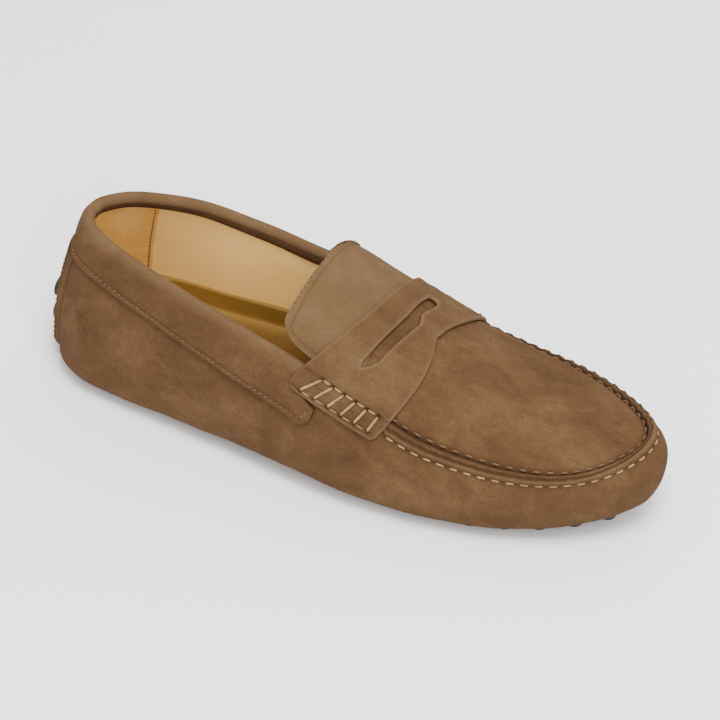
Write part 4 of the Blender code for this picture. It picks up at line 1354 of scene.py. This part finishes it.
        shade = (0.85 * hole + 0.30 * hill(-np.abs(where), self.hole_top, 0.010)
                 + 0.25 * hill(-np.abs(where), self.hole_bottom, 0.010))
        strap = shell("strap_skin", outer, inner, marks={"wear_and_painted_light": wear_and_painted_light, "shade": shade},
                      slit=self.lane, merge=4e-6)
        self.dress(strap, SUEDE, "suede", "strap")
        self.whip()

    def corner(self, place: Array, radius: float) -> Array:
        """Share by which the sides draw in at the rounded ends.

        Args:
            place: Places across, from -1 at the outer end to 1.
            radius: Radius of the corners.

        Returns:
            Shares of the length.
        """
        beyond = np.minimum(place - place[0], place[-1] - place) * self.end_size
        t = np.clip(1 - beyond / radius, 0, 1)
        return radius * (1 - np.sqrt(1 - t ** 2)) / LAST.length

    def whip(self) -> None:
        """Thread of both ends: across the roll from hole to hole, and along
        both rows of holes."""
        paths, ups, small, small_ups = [], [], [], []
        for end in (0, 1):
            top, low = self.rows(end)
            for a, b in zip(low, top):
                t = np.linspace(0.02, 0.98, 25)
                place = a[0] + (b[0] - a[0]) * t
                share = a[1] + (b[1] - a[1]) * t
                dive = -0.0011 * (2 * t - 1) ** 12
                skin = self.on(place, share, 0.0004 + dive)
                normal = self.normals(place, share)
                line = skin[0] + (skin[-1] - skin[0]) * t[:, None]
                up = unit(normal.mean(0))
                paths.append(line + up * ((skin - line) @ up)[:, None])
                ups.append(normal)
            for row in (top, low):
                for a, b in zip(row[:-1], row[1:]):
                    t = np.linspace(0.12, 0.72, 13)
                    place = a[0] + (b[0] - a[0]) * t
                    share = a[1] + (b[1] - a[1]) * t
                    s = (t - 0.42) / 0.30
                    small.append(self.on(place, share, 0.0002 - 0.0008 * s ** 4))
                    small_ups.append(self.normals(place, share))
        thread = tubes("strap_whip_stitches", np.array(paths), np.array(ups), self.thread, 10, 2)
        self.dress(thread, THREAD, None)
        thread = tubes("strap_row_stitches", np.array(small), np.array(small_ups),
                       self.row_thread, 8, 2)
        self.dress(thread, THREAD, None)


@dataclass
class Collar(Piece):
    """The band round the collar with its rolled rim, and the linings."""

    seam: Seam = Seam(0.0027, 0.60, 0.0002, 0.00030)
    lining_seam: Seam = Seam(0.0024, 0.6, 0.0001, 0.00030)
    edge: float = 0.0008
    thick: float = 0.0016
    gap: float = 0.0003
    heel_depth: float = 0.0165
    side_depth: float = 0.0215
    inside: float = 0.0055
    rise: float = 0.0026
    front: float = 0.474
    reach: float = 0.0057
    corner: float = 0.0085
    spare: float = 0.06
    heel_turn: float = 0.60

    def angles(self, count: int = 420) -> Array:
        """Angles from the band's inner end round the heel to its outer end."""
        end = LAST.ring_angle(LAST.top, self.front)
        return np.linspace(-end, end, count)

    def depth(self, angle: Array) -> Array:
        """Depth of the band: shallower at the heel."""
        return self.heel_depth + (self.side_depth - self.heel_depth) * step(0.5, 1.5, np.abs(angle))

    def reach_at(self, drop: Array) -> Array:
        """How far the band runs on below the strap's end, with the round of
        its lower front corner.

        Args:
            drop: Distances down from the top edge.

        Returns:
            Lengths.
        """
        turn = np.clip((drop - self.side_depth + self.corner) / self.corner, 0, 1)
        reach = self.reach * step(0.0088, 0.0108, drop) - self.corner * (1 - np.sqrt(1 - turn ** 2))
        return np.maximum(reach, 0)

    def wide(self, angle: Array) -> Array:
        """The same angles stretched to the furthest reach of the band."""
        return angle * (1 + self.spare)

    def pull(self, angle: Array, drops: Array, grid: Array) -> Array:
        """Each column of a grid on the stretched angles, read again at angles
        that end where the band ends at that drop.

        Args:
            angle: Angles round the shoe.
            drops: Distances down the ribs at the grid's points.
            grid: Points on the stretched angles.

        Returns:
            Points, of the same shape.
        """
        end = angle[-1]
        out = np.empty_like(grid)
        stretch = step(1.0, end, np.abs(angle)) * np.sign(angle)
        for k in range(grid.shape[1]):
            last = LAST.ring_angle(LAST.top, self.front + self.reach_at(drops[-1, k]) / LAST.length)
            at = angle + (last - end) * stretch
            for axis in range(3):
                out[:, k, axis] = np.interp(at, self.wide(angle), grid[:, k, axis])
        return out

    def build(self) -> None:
        """Band, its stitches, and the linings inside."""
        angle = self.angles()
        depth = self.depth(angle)[:, None]
        end = np.abs(angle[:, None]) / angle[-1]
        face = self.gap + self.thick
        back = -(LAST.wall_thick + self.gap + self.thick)
        low = np.linspace(1, 0, 26)[None]
        drop = 0.0010 + (depth - 0.0010) * low
        near = depth - drop
        rounded = eased(near, self.edge)
        stitched = 0.00030 * hill(near, 0.0026, 0.0007)
        out = (self.gap + self.thick * (0.2 + 0.8 * rounded) - stitched
               + 0.0003 * step(0.004, 0.010, near))
        turn = np.linspace(0, math.pi, 19)[None, 1:-1]
        half = (face - back) / 2
        middle = (face + back) / 2
        roll_drop = 0.0004 - (self.rise + 0.0004) * np.sin(turn) + np.zeros(depth.shape)
        roll_out = middle + (half + 0.0002) * np.cos(turn) + np.zeros(depth.shape)
        down = 0.0006 + (self.inside - 0.0006) * np.linspace(0, 1, 8)[None] + np.zeros(depth.shape)
        within = back + 0.0010 * np.linspace(0, 1, 8)[None] ** 4 + np.zeros(depth.shape)
        drops = np.concatenate([drop, roll_drop, down], 1)
        outs = np.concatenate([out, roll_out, within], 1)
        wave = 0.00020 * np.sin(angle * 23 + 2 * np.sin(angle * 5))[:, None]
        outs += wave * step(0.002, 0.008, near.min(1, keepdims=True) + 0.008) * 0.5
        outer = self.pull(angle, drops, LAST.out(self.wide(angle), drops, outs))
        inner_drop = np.concatenate([drop, 0.0004 - 0.0007 * np.sin(turn) + 0 * depth, down], 1)
        inner_out = np.concatenate([np.full(drop.shape, self.gap),
                                    -LAST.wall_thick / 2 + (LAST.wall_thick / 2 + self.gap)
                                    * np.cos(turn) + 0 * depth,
                                    np.full(down.shape, -LAST.wall_thick - self.gap)], 1)
        inner = self.pull(angle, inner_drop, LAST.out(self.wide(angle), inner_drop, inner_out))
        # Painted highlight over the rolled rim, and a rubbed lighter lower edge of the band.
        rim = step(0.004, -0.002, drops)
        wear_and_painted_light = 0.25 * rim + 0.35 * hill(drops, np.broadcast_to(depth, drops.shape), 0.0008)
        shade = 0.2 * hill(np.concatenate([near, near[:, :1] + np.ones((1, turn.shape[1] + 8))], 1),
                           0.0028, 0.0006)
        band = shell("collar_band_skin", outer, inner, marks={"wear_and_painted_light": wear_and_painted_light, "shade": shade})
        self.dress(band, SUEDE, "suede", "collar_band")
        self.stitch(angle)
        self.lining()

    def stitch(self, angle: Array) -> None:
        """Small stitches 2.6 mm above the band's lower edge, 2.7 mm apart.

        Args:
            angle: Angles from one end of the band to the other.
        """
        quarter = np.linspace(0, math.pi / 2, 30)
        small = self.corner - 0.0026
        ahead = self.reach - self.corner + small * np.sin(quarter)
        low = self.side_depth - self.corner + small * np.cos(quarter)
        ahead, low = np.append(ahead, ahead[-1]), np.append(low, 0.0100)
        last = LAST.ring_angle(LAST.top, self.front + ahead / LAST.length)
        middle = angle[np.abs(angle) < last[0]]
        turn = np.concatenate([-last[::-1], middle, last])
        drop = np.concatenate([low[::-1], self.depth(middle) - 0.0026, low])[:, None]
        line = LAST.out(turn, drop, self.gap + self.thick - 0.0001)[:, 0]
        base = LAST.down(turn, drop)[:, 0]
        self.sew("band_stitches", [(line, unit(line - base))], self.seam, FINE_THREAD)

    def lining(self) -> None:
        """Leather inside the quarters, and suede inside the heel, which laps
        over it with a stitched edge."""
        for name, finish, low, high, out in (
                ("quarter_lining", LINING, 0.54, 1.90, 0.0006),
                ("heel_lining", HEEL_LINING, -self.heel_turn - 0.02, self.heel_turn + 0.02, 0.0010)):
            spans = ((low, high),) if low < 0 else ((low, high), (-high, -low))
            for side, (start, stop) in enumerate(spans):
                angle = np.linspace(start, stop, 150)
                ribs = LAST.wall(angle)
                drop = 0.0040 + (lengths(ribs)[:, None] * 0.80 - 0.0040) * np.linspace(0, 1, 60)[None]
                soft = (0.0004 * np.sin(angle * 9 + 0.7)[:, None]
                        * step(0.01, 0.03, drop) * step(0, 0.3, np.abs(angle)[:, None]))
                face = LAST.out(angle, drop, -(LAST.wall_thick + out) + soft)
                back = LAST.out(angle, drop, -(LAST.wall_thick + 0.0001))
                shade = 0.15 * step(0.010, 0.055, drop)
                piece = shell(f"{name}_{side}", back, face, marks={"shade": shade, "wear_and_painted_light": 0 * drop})
                self.dress(piece, finish, None)
        for sign in (-1, 1):
            turn = np.full(60, sign * self.heel_turn)
            drop = np.linspace(0.006, 0.060, 60)[:, None]
            line = LAST.out(turn, drop, -(LAST.wall_thick + 0.0011))[:, 0]
            base = LAST.down(turn, drop)[:, 0]
            name = "heel_lining_stitches_" + ("inner" if sign < 0 else "outer")
            self.sew(name, [(line, unit(line - base))], self.lining_seam, FINE_THREAD)


@dataclass
class Sock(Piece):
    """The leather sock, cupped where it meets the walls."""

    level: float = 0.0073
    rim: float = 0.0122
    low_rim: float = 0.0012
    off: float = 0.0034
    under_off: float = 0.0021
    thick: float = 0.0024
    lip: int = 8
    fall: float = 0.012

    def build(self) -> None:
        """Lip down the foot of the lining, then a fan to the middle of the
        foot, which falls to its level by the square of what is left."""
        angle = np.linspace(0, TURN, 361)[:-1]
        high, low = (self.wall_drop(angle, rim) for rim in (self.rim, self.low_rim))
        drop = high + (low - high) * np.linspace(0, 1, self.lip)[None]
        lip = LAST.out(angle, drop, -self.off)
        edge = lip[:, -1]
        share = np.clip(LAST.share_of(edge[:, 0]), 0.10, 0.90)
        middle = np.stack([LAST.place_of(share), 0.002 + 0 * share], -1)
        t = (np.linspace(0, 1, 40)[None, :, None]) ** 1.3
        flat = edge[:, None, :2] + (middle - edge[:, :2])[:, None] * t
        floor = LAST.underside(flat[..., 0]) + self.level
        away = np.linalg.norm(flat - edge[:, None, :2], axis=-1)
        height = floor + (edge[:, None, 2] - floor) * np.clip(1 - away / self.fall, 0, 1) ** 2
        x, y = flat[..., 0], flat[..., 1]
        height = height - 0.00048 * hill(x, 0.0, 0.030) * hill(y, 0.0, 0.022)
        top = np.concatenate([lip[:, :-1], np.concatenate([flat, height[..., None]], -1)], 1)
        x, y = top[..., 0], top[..., 1]
        under = top - np.array([0.0, 0.0, self.thick])
        under[:, :self.lip - 1] = LAST.out(angle, drop[:, :-1], -self.under_off)
        # Painted shade darkens the sock towards the toe. The seat of the heel is rubbed lighter, and
        # the lip rows up the cupped wall are painted lighter against their shade.
        shade = 0.35 * step(0.02, 0.10, x)
        wear_and_painted_light = (0.35 * hill(x, 0.000, 0.035) * hill(y, 0.0, 0.026)
                + 0.45 * step(20, 6, np.arange(top.shape[1])))
        marks = {"wear_and_painted_light": wear_and_painted_light, "shade": shade}
        sock = shell("sock", top, under, closed=True, open_end=True, marks=marks)
        self.dress(sock, SOCK, "sock_leather", "insole")

    def wall_drop(self, angle: Array, rim: float) -> Array:
        """Distance down the wall at which the sock meets the lining: where it
        is a little above the sock's level.

        Args:
            angle: Angles round the shoe.
            rim: Height of the line over the sock's level.

        Returns:
            Distances, shape (angles, 1).
        """
        ribs = LAST.wall(angle)
        run = run_along(ribs)
        over = (ribs[..., 2] - LAST.underside(ribs[..., 0]) - self.level - rim)[:, :97]
        index = np.clip((over > 0).sum(1), 1, 96)[:, None]
        above, below = (np.take_along_axis(over, index - k, 1) for k in (1, 0))
        near, far = (np.take_along_axis(run, index - k, 1) for k in (1, 0))
        drop = near + (far - near) * np.clip(above / np.maximum(above - below, 1e-9), 0, 1)
        return np.mean([np.roll(drop, k, 0) for k in range(-9, 10)], 0)


@dataclass
class Sole(Piece):
    """The underside: panel, rubber studs with rounded rims, seams."""

    web: float = 0.0020
    ball_stud: float = 0.0205
    heel_stud: float = 0.0245
    rear_stud: float = 0.0120
    rim_stud: float = 0.0113
    rim_studs: int = 37
    rim_start: float = 0.46
    seam: Seam = Seam(0.0032, 0.6, 0.0001, 0.00035)
    seam_inset: float = 0.0022
    # Shares of the length at which seams cross the panel.
    cross_seams: tuple[float, ...] = (0.243, 0.555, 0.645, 0.735)
    # Share of length, inner and outer place as shares of the ball width,
    # diameter as a share of the ball stud.
    pairs: Table = (
        (0.216, 0.037, -0.104, 0.49), (0.273, 0.024, -0.121, 0.50), (0.326, 0.007, -0.134, 0.50),
        (0.383, -0.003, -0.158, 0.55), (0.445, -0.004, -0.173, 0.65), (0.513, 0.023, -0.192, 0.79),
        (0.599, 0.058, -0.193, 1.00), (0.691, 0.081, -0.185, 0.97), (0.778, 0.076, -0.144, 0.785),
        (0.853, 0.075, -0.113, 0.51), (0.908, 0.061, -0.066, 0.38),
    )
    rim_size: Table = ((0.0, 0.94), (0.35, 0.90), (0.5, 1.0), (0.62, 1.02), (0.75, 0.93),
                       (0.88, 0.84), (1.0, 0.70))
    # Height and radius of a stud's profile, as shares of its height and of
    # its radius, from its root to the middle of its foot.
    profile: Table = (
        (1.30, 1.00), (0.98, 1.00), (0.60, 0.985), (0.30, 0.965), (0.16, 0.945), (0.07, 0.90),
        (0.02, 0.83), (0.00, 0.74), (0.00, 0.40), (0.00, 0.0),
    )
    heel_profile: Table = (
        (1.30, 1.00), (0.98, 1.00), (0.50, 0.985), (0.20, 0.965), (0.09, 0.94), (0.02, 0.89),
        (0.00, 0.83), (0.01, 0.79), (0.09, 0.765), (0.10, 0.72), (0.07, 0.60), (0.06, 0.30),
        (0.06, 0.0),
    )

    def studs(self) -> Array:
        """Place and diameter of each stud: x, y, size.

        Returns:
            Rows of x, y and diameter.
        """
        share, width = LAST.place_of, LAST.ball_width
        rows = [(float(share(0.058)), 0.010 * width, self.rear_stud)]
        for at, inner, outer, size in self.pairs:
            rows += [(float(share(at)), side * width, size * self.ball_stud) for side in (inner, outer)]
        angle = np.linspace(0, TURN, 721)
        line = (LAST.ring(LAST.panel, angle)[:, :2] + LAST.ring(LAST.roll, angle)[:, :2]) / 2
        line = line[(angle > self.rim_start) & (angle < TURN - self.rim_start)]
        run = run_along(line)
        at = np.linspace(0, run[-1], self.rim_studs)
        x, y = np.interp(at, run, line[:, 0]), np.interp(at, run, line[:, 1])
        size = np.interp(LAST.share_of(x), *zip(*self.rim_size)) * self.rim_stud
        return np.concatenate([np.array(rows), np.stack([x, y, size], -1)])

    def turned(self, studs: Array, profile: Table, sides: int = 28) -> tuple[Array, Array]:
        """Turned studs: each point of the profile becomes a ring of a share
        of the radius, at a share of the height between foot and suede.

        Args:
            studs: Rows of x, y and diameter.
            profile: Height and radius shares from root to foot.
            sides: Points round a ring.

        Returns:
            Points and faces.
        """
        rows = np.array(profile)
        foot = LAST.floor_lift(studs[:, 0])[:, None, None]
        phi = (np.arange(sides) * TURN / sides)[None, None]
        radius = studs[:, 2, None, None] / 2 * rows[None, :, 1, None]
        x = studs[:, 0, None, None] + radius * np.cos(phi)
        y = studs[:, 1, None, None] + radius * np.sin(phi)
        z = foot + LAST.stud_height * rows[None, :, 0, None] + 0 * phi
        points = np.stack([x, y, z], -1)
        return points.reshape(-1, 3), ring_faces(len(studs), len(rows), sides)

    def fan(self, rows: Table, inset: float, height: float, columns: int = 40) -> Array:
        """Grid under the foot from a ring to its middle line.

        Args:
            rows: Table of the ring.
            inset: Distance in from the ring.
            height: Height over the suede's outer face.
            columns: Points of a line.

        Returns:
            Points, shape (360, columns, 3).
        """
        angle = np.arange(360) * TURN / 360
        edge = LAST.ring(rows, angle)
        share = np.clip(LAST.share_of(edge[:, 0]), rows[0][0] + 0.05, rows[-1][0] - 0.06)
        inner = np.array([[row[0], (row[2] - row[1]) / 2] for row in rows])
        middle = np.stack([LAST.place_of(share), np.interp(share, *inner.T) * LAST.ball_width], -1)
        reach = middle - edge[:, :2]
        start = edge[:, :2] + unit(reach) * inset
        t = np.linspace(0, 1, columns)[None, :, None]
        flat = start[:, None] + (middle - start)[:, None] * t
        return np.concatenate([flat, (LAST.underside(flat[..., 0]) + height)[..., None]], -1)

    def build(self) -> None:
        """Panel, studs, web and the stitches of the underside."""
        studs = self.studs()
        big = np.array([[0.0, 0.0, self.heel_stud]])
        low = self.fan(LAST.panel, 0.0002, 0.0)
        every = np.concatenate([studs, big])
        gap = np.linalg.norm(low[:, :, None, :2] - every[None, None, :, :2], axis=-1)
        gap = (gap - every[None, None, :, 2] / 2).min(-1)
        edge = np.linalg.norm(low[..., :2] - low[:, :1, :2], axis=-1)
        low[..., 2] += 0.0004 * hill(gap, 0.0006, 0.0008) + 0.0005 * hill(edge, 0.0, 0.0008)
        marks = {"wear_and_painted_light": 0.2 + 0 * edge,
                 "shade": 0.5 * hill(edge, 0, 0.001) + 0.35 * hill(gap, 0, 0.0012)}
        panel = shell("panel_skin", low, low + np.array([0, 0, LAST.wall_thick]), closed=True,
                      open_end=True, marks=marks)
        self.dress(panel, SUEDE, "suede", "underside_panel")
        points, faces = self.turned(studs, self.profile)
        more, others = self.turned(big, self.heel_profile, 48)
        web = self.fan(LAST.roll, 0.0012, LAST.wall_thick + 0.0003, 12)
        rows, columns = web.shape[:2]
        flat = quads(rows, columns, closed=True)
        under = rows * columns
        side = np.arange(rows)
        ring = np.stack([side * columns, side * columns + under, (side + 1) % rows * columns + under,
                         (side + 1) % rows * columns], -1)
        base = len(points) + len(more)
        top = web + np.array([0, 0, self.web])
        everything = np.concatenate([points, more, web.reshape(-1, 3), top.reshape(-1, 3)])
        all_faces = np.concatenate([faces, others + len(points), flat + base,
                                    flat[:, ::-1] + base + under, ring + base])
        rubber = make_mesh("studs_and_web", everything, all_faces)
        self.dress(rubber, RUBBER, "rubber", "rubber_sole")
        self.stitch()

    def stitch(self) -> None:
        """Dark stitches along both sides of the panel seam, and across the
        panel between the studs."""
        lines = []
        edge = LAST.ring(LAST.panel, np.linspace(0, TURN, 721))
        along = unit(np.gradient(edge[:, :2], axis=0))
        for inset in (self.seam_inset, -self.seam_inset):
            line = edge.copy()
            line[:, :2] += np.stack([-along[:, 1], along[:, 0]], -1) * inset
            lines.append(line)
        for at in self.cross_seams:
            turn = LAST.ring_angle(LAST.panel, at)
            a, b = (LAST.ring(LAST.panel, np.array([v]))[0] for v in (turn, TURN - turn))
            lines.append(a + (b - a) * np.linspace(0.04, 0.96, 40)[:, None])
        for line in lines:
            line[:, 2] = LAST.underside(line[:, 0])
        down = np.array([0.0, 0.0, -1.0])
        rows = [(line, np.broadcast_to(down, line.shape)) for line in lines]
        self.sew("underside_stitches", rows, self.seam, DARK_THREAD)


@dataclass
class Heel(Piece):
    """The suede patch on the back of the heel, the rubber under it and the
    studs that come through it."""

    seam: Seam = Seam(0.0026, 0.6, 0.0001, 0.00030)
    edge: float = 0.0008
    top: float = 0.0168
    long: float = 0.052
    half_width: float = 0.0135
    flare: float = 0.15
    stud: float = 0.0095
    proud: float = 0.0036
    web: float = 0.0008
    thick: float = 0.0014
    gap: float = 0.0003
    below: tuple[float, float] = (0.0325, 0.0452)
    sides: int = 28
    # Height and radius of a stud as shares, from its root to its face.
    profile: Table = ((0.0, 1.0), (0.80, 1.0), (0.92, 0.96), (0.98, 0.88), (1.0, 0.76), (1.0, 0.38),
                      (1.0, 0.0))

    def at(self, drop: Array, arc: Array, off: Array | float) -> Array:
        """Points an arc away from the middle of the heel's back: the angle is
        the arc over the length that a radian has there.

        Args:
            drop: Distances down from the top edge.
            arc: Distances from the middle.
            off: Height over the wrap.

        Returns:
            Points, one for each drop.
        """
        turn = np.array([-0.2, 0.2])
        level = np.broadcast_to(drop.reshape(1, -1), (2, drop.size))
        line = LAST.down(turn, level)
        per_radian = np.linalg.norm(line[1] - line[0], axis=-1).reshape(drop.shape) / 0.4
        angle = (arc / np.maximum(per_radian, 1e-4)).ravel()
        off = (np.zeros(drop.shape) + off).reshape(-1, 1)
        return LAST.out(angle, drop.reshape(-1, 1), off).reshape(drop.shape + (3,))

    def build(self) -> None:
        """Patch with rounded edges, then web and studs as one piece."""
        side, down = np.meshgrid(np.linspace(-1, 1, 50), np.linspace(0, 1, 90), indexing="ij")
        width = self.half_width * (1 + self.flare * down)
        near = np.minimum((1 - np.abs(side)) * width, (1 - down) * self.long)
        drop = self.top + self.long * down
        rounded = eased(near, self.edge)
        under = self.gap * 2 + self.web
        bulge = np.zeros(side.shape)
        for below in self.below:
            away = np.hypot(side * width, drop - self.top - below) - self.stud / 2
            bulge += 0.0004 * hill(away, 0.0005, 0.0010)
        settle = (under + 0.0002) * step(0.0, 0.0024, near) - 0.0002
        outer = self.at(drop, side * width, settle + self.thick * (0.2 + 0.8 * rounded) + bulge)
        inner = self.at(drop, side * width, settle)
        marks = {"wear_and_painted_light": 0.35 * hill(near, 0, 0.0008), "shade": 0.15 + 0.2 * hill(near, 0.0024, 0.0006)}
        self.dress(shell("heel_patch_skin", outer, inner, marks=marks), SUEDE, "suede", "heel_patch")
        self.rubber(under)
        self.stitch(under)

    def rubber(self, under: float) -> None:
        """Web and the two turned studs, whose axes are square to the heel.

        Args:
            under: Height of the patch over the wrap.
        """
        side, down = np.meshgrid(np.linspace(-1, 1, 12), np.linspace(0, 1, 24), indexing="ij")
        drop = self.top + 0.0030 + (self.long - 0.006) * down
        arc = side * (self.half_width - 0.0030) * (1 + self.flare * down)
        web = shell("heel_web", self.at(drop, arc, self.gap + self.web), self.at(drop, arc, self.gap))
        self.dress(web, RUBBER, "rubber")
        points, profile = [], np.array(self.profile)
        high = self.thick + self.gap + self.proud + self.web / 2
        phi = np.arange(self.sides) * TURN / self.sides
        for below in self.below:
            drop, arc = np.array([self.top + below]), np.zeros(1)
            foot = self.at(drop, arc, self.gap + self.web / 2)[0]
            axis = unit(self.at(drop, arc, 0.01)[0] - foot)
            across = unit(np.cross(axis, (0.0, 0.0, 1.0)))
            up = np.cross(across, axis)
            ring = (np.cos(phi)[:, None] * across + np.sin(phi)[:, None] * up) * self.stud / 2
            body = foot + axis * (profile[:, :1] * high)[..., None] + ring * profile[:, 1:, None]
            points.append(body.reshape(-1, 3))
        faces = ring_faces(len(self.below), len(profile), self.sides)
        studs = make_mesh("heel_back_studs", np.concatenate(points), faces)
        self.dress(studs, RUBBER, "rubber", "heel_rubber")

    def stitch(self, under: float) -> None:
        """Stitches down both sides of the patch.

        Args:
            under: Height of the patch over the wrap.
        """
        for sign, name in ((-1, "outer"), (1, "inner")):
            down = np.linspace(0.03, 0.97, 60)
            width = self.half_width * (1 + self.flare * down) - 0.0024
            drop = self.top + self.long * down
            line = self.at(drop, sign * width, under + self.thick)
            up = unit(line - self.at(drop, sign * width, 0.0))
            self.sew(f"patch_stitches_{name}", [(line, up)], self.seam, FINE_THREAD)


@dataclass(frozen=True)
class Studio:
    """Floor, soft light and the camera, which stands where the photograph's
    stood and turns to the shoe."""

    azimuth: float = 18.06
    elevation: float = 36.0
    distance: float = 1.5592
    aim: tuple[float, float, float] = (0.0571, 0.2192, 0.0)
    roll: float = 5.0
    target: tuple[float, float, float] = (0.1012, 0.0043, 0.0330)
    lens: float = 157.0

    def camera(self) -> None:
        """Camera at the photograph's place. Its roll about the first line of
        sight is kept while it turns to the shoe."""
        a, e, r = (math.radians(v) for v in (self.azimuth, self.elevation, self.roll))
        back = Vector((math.sin(a) * math.cos(e), -math.cos(a) * math.cos(e), math.sin(e)))
        right = Vector((math.cos(a), math.sin(a), 0.0))
        tilted = right * math.cos(r) + back.cross(right) * math.sin(r)
        place = Vector(self.aim) + back * self.distance
        toward = (place - Vector(self.target)).normalized()
        across = (tilted - toward * tilted.dot(toward)).normalized()
        data = bpy.data.cameras.new("camera")
        data.lens = self.lens
        data.clip_start, data.clip_end = 0.05, 30.0
        camera = bpy.data.objects.new("camera", data)
        turn = Matrix((across, toward.cross(across), toward)).transposed()
        camera.matrix_world = Matrix.Translation(place) @ turn.to_4x4()
        bpy.context.scene.collection.objects.link(camera)
        bpy.context.scene.camera = camera

    def light(self, name: str, place: tuple[float, float, float], size: float, power: float) -> None:
        """Square area light that faces the shoe.

        Args:
            name: Name of the lamp.
            place: Its place.
            size: Side of the square.
            power: Power in watts.
        """
        data = bpy.data.lights.new(name, "AREA")
        data.size, data.energy = size, power
        lamp = bpy.data.objects.new(name, data)
        lamp.location = place
        aim = Vector(self.target) - Vector(place)
        lamp.rotation_euler = aim.to_track_quat("-Z", "Y").to_euler()
        bpy.context.scene.collection.objects.link(lamp)

    def build(self) -> None:
        """Pale floor, pale surroundings, a broad lamp above and a fill."""
        half = 6.0
        corners = np.array([(-half, -half, 0), (half, -half, 0), (half, half, 0), (-half, half, 0)])
        floor = make_mesh("floor", corners, [(0, 1, 2, 3)])
        paper = bpy.data.materials.new("white_paper")
        paper.use_nodes = True
        shader = paper.node_tree.nodes["Principled BSDF"]
        shader.inputs["Base Color"].default_value = linear("#FAFAFA")
        shader.inputs["Roughness"].default_value = 0.9
        floor.data.materials.append(paper)
        world = bpy.data.worlds.new("surroundings")
        world.use_nodes = True
        world.node_tree.nodes["Background"].inputs["Color"].default_value = (1.0, 1.0, 1.0, 1.0)
        world.node_tree.nodes["Background"].inputs["Strength"].default_value = 1.1
        bpy.context.scene.world = world
        self.light("key", (0.30, -0.35, 1.3), 0.6, 24.0)
        self.light("fill", (0.7, -0.9, 0.8), 0.9, 10.0)
        self.light("back", (0.1, 0.9, 0.9), 0.9, 7.0)
        self.camera()


def main() -> None:
    """Build the shoe piece by piece, then the studio."""
    logging.basicConfig(level=logging.INFO, format="%(message)s")
    shared: dict[str, bpy.types.Material] = {}
    for part in (Wrap, Plug, Tongue, Strap, Collar, Sock, Sole, Heel):
        part(finishes=shared).build()
    Studio().build()


if __name__ == "__main__":
    main()
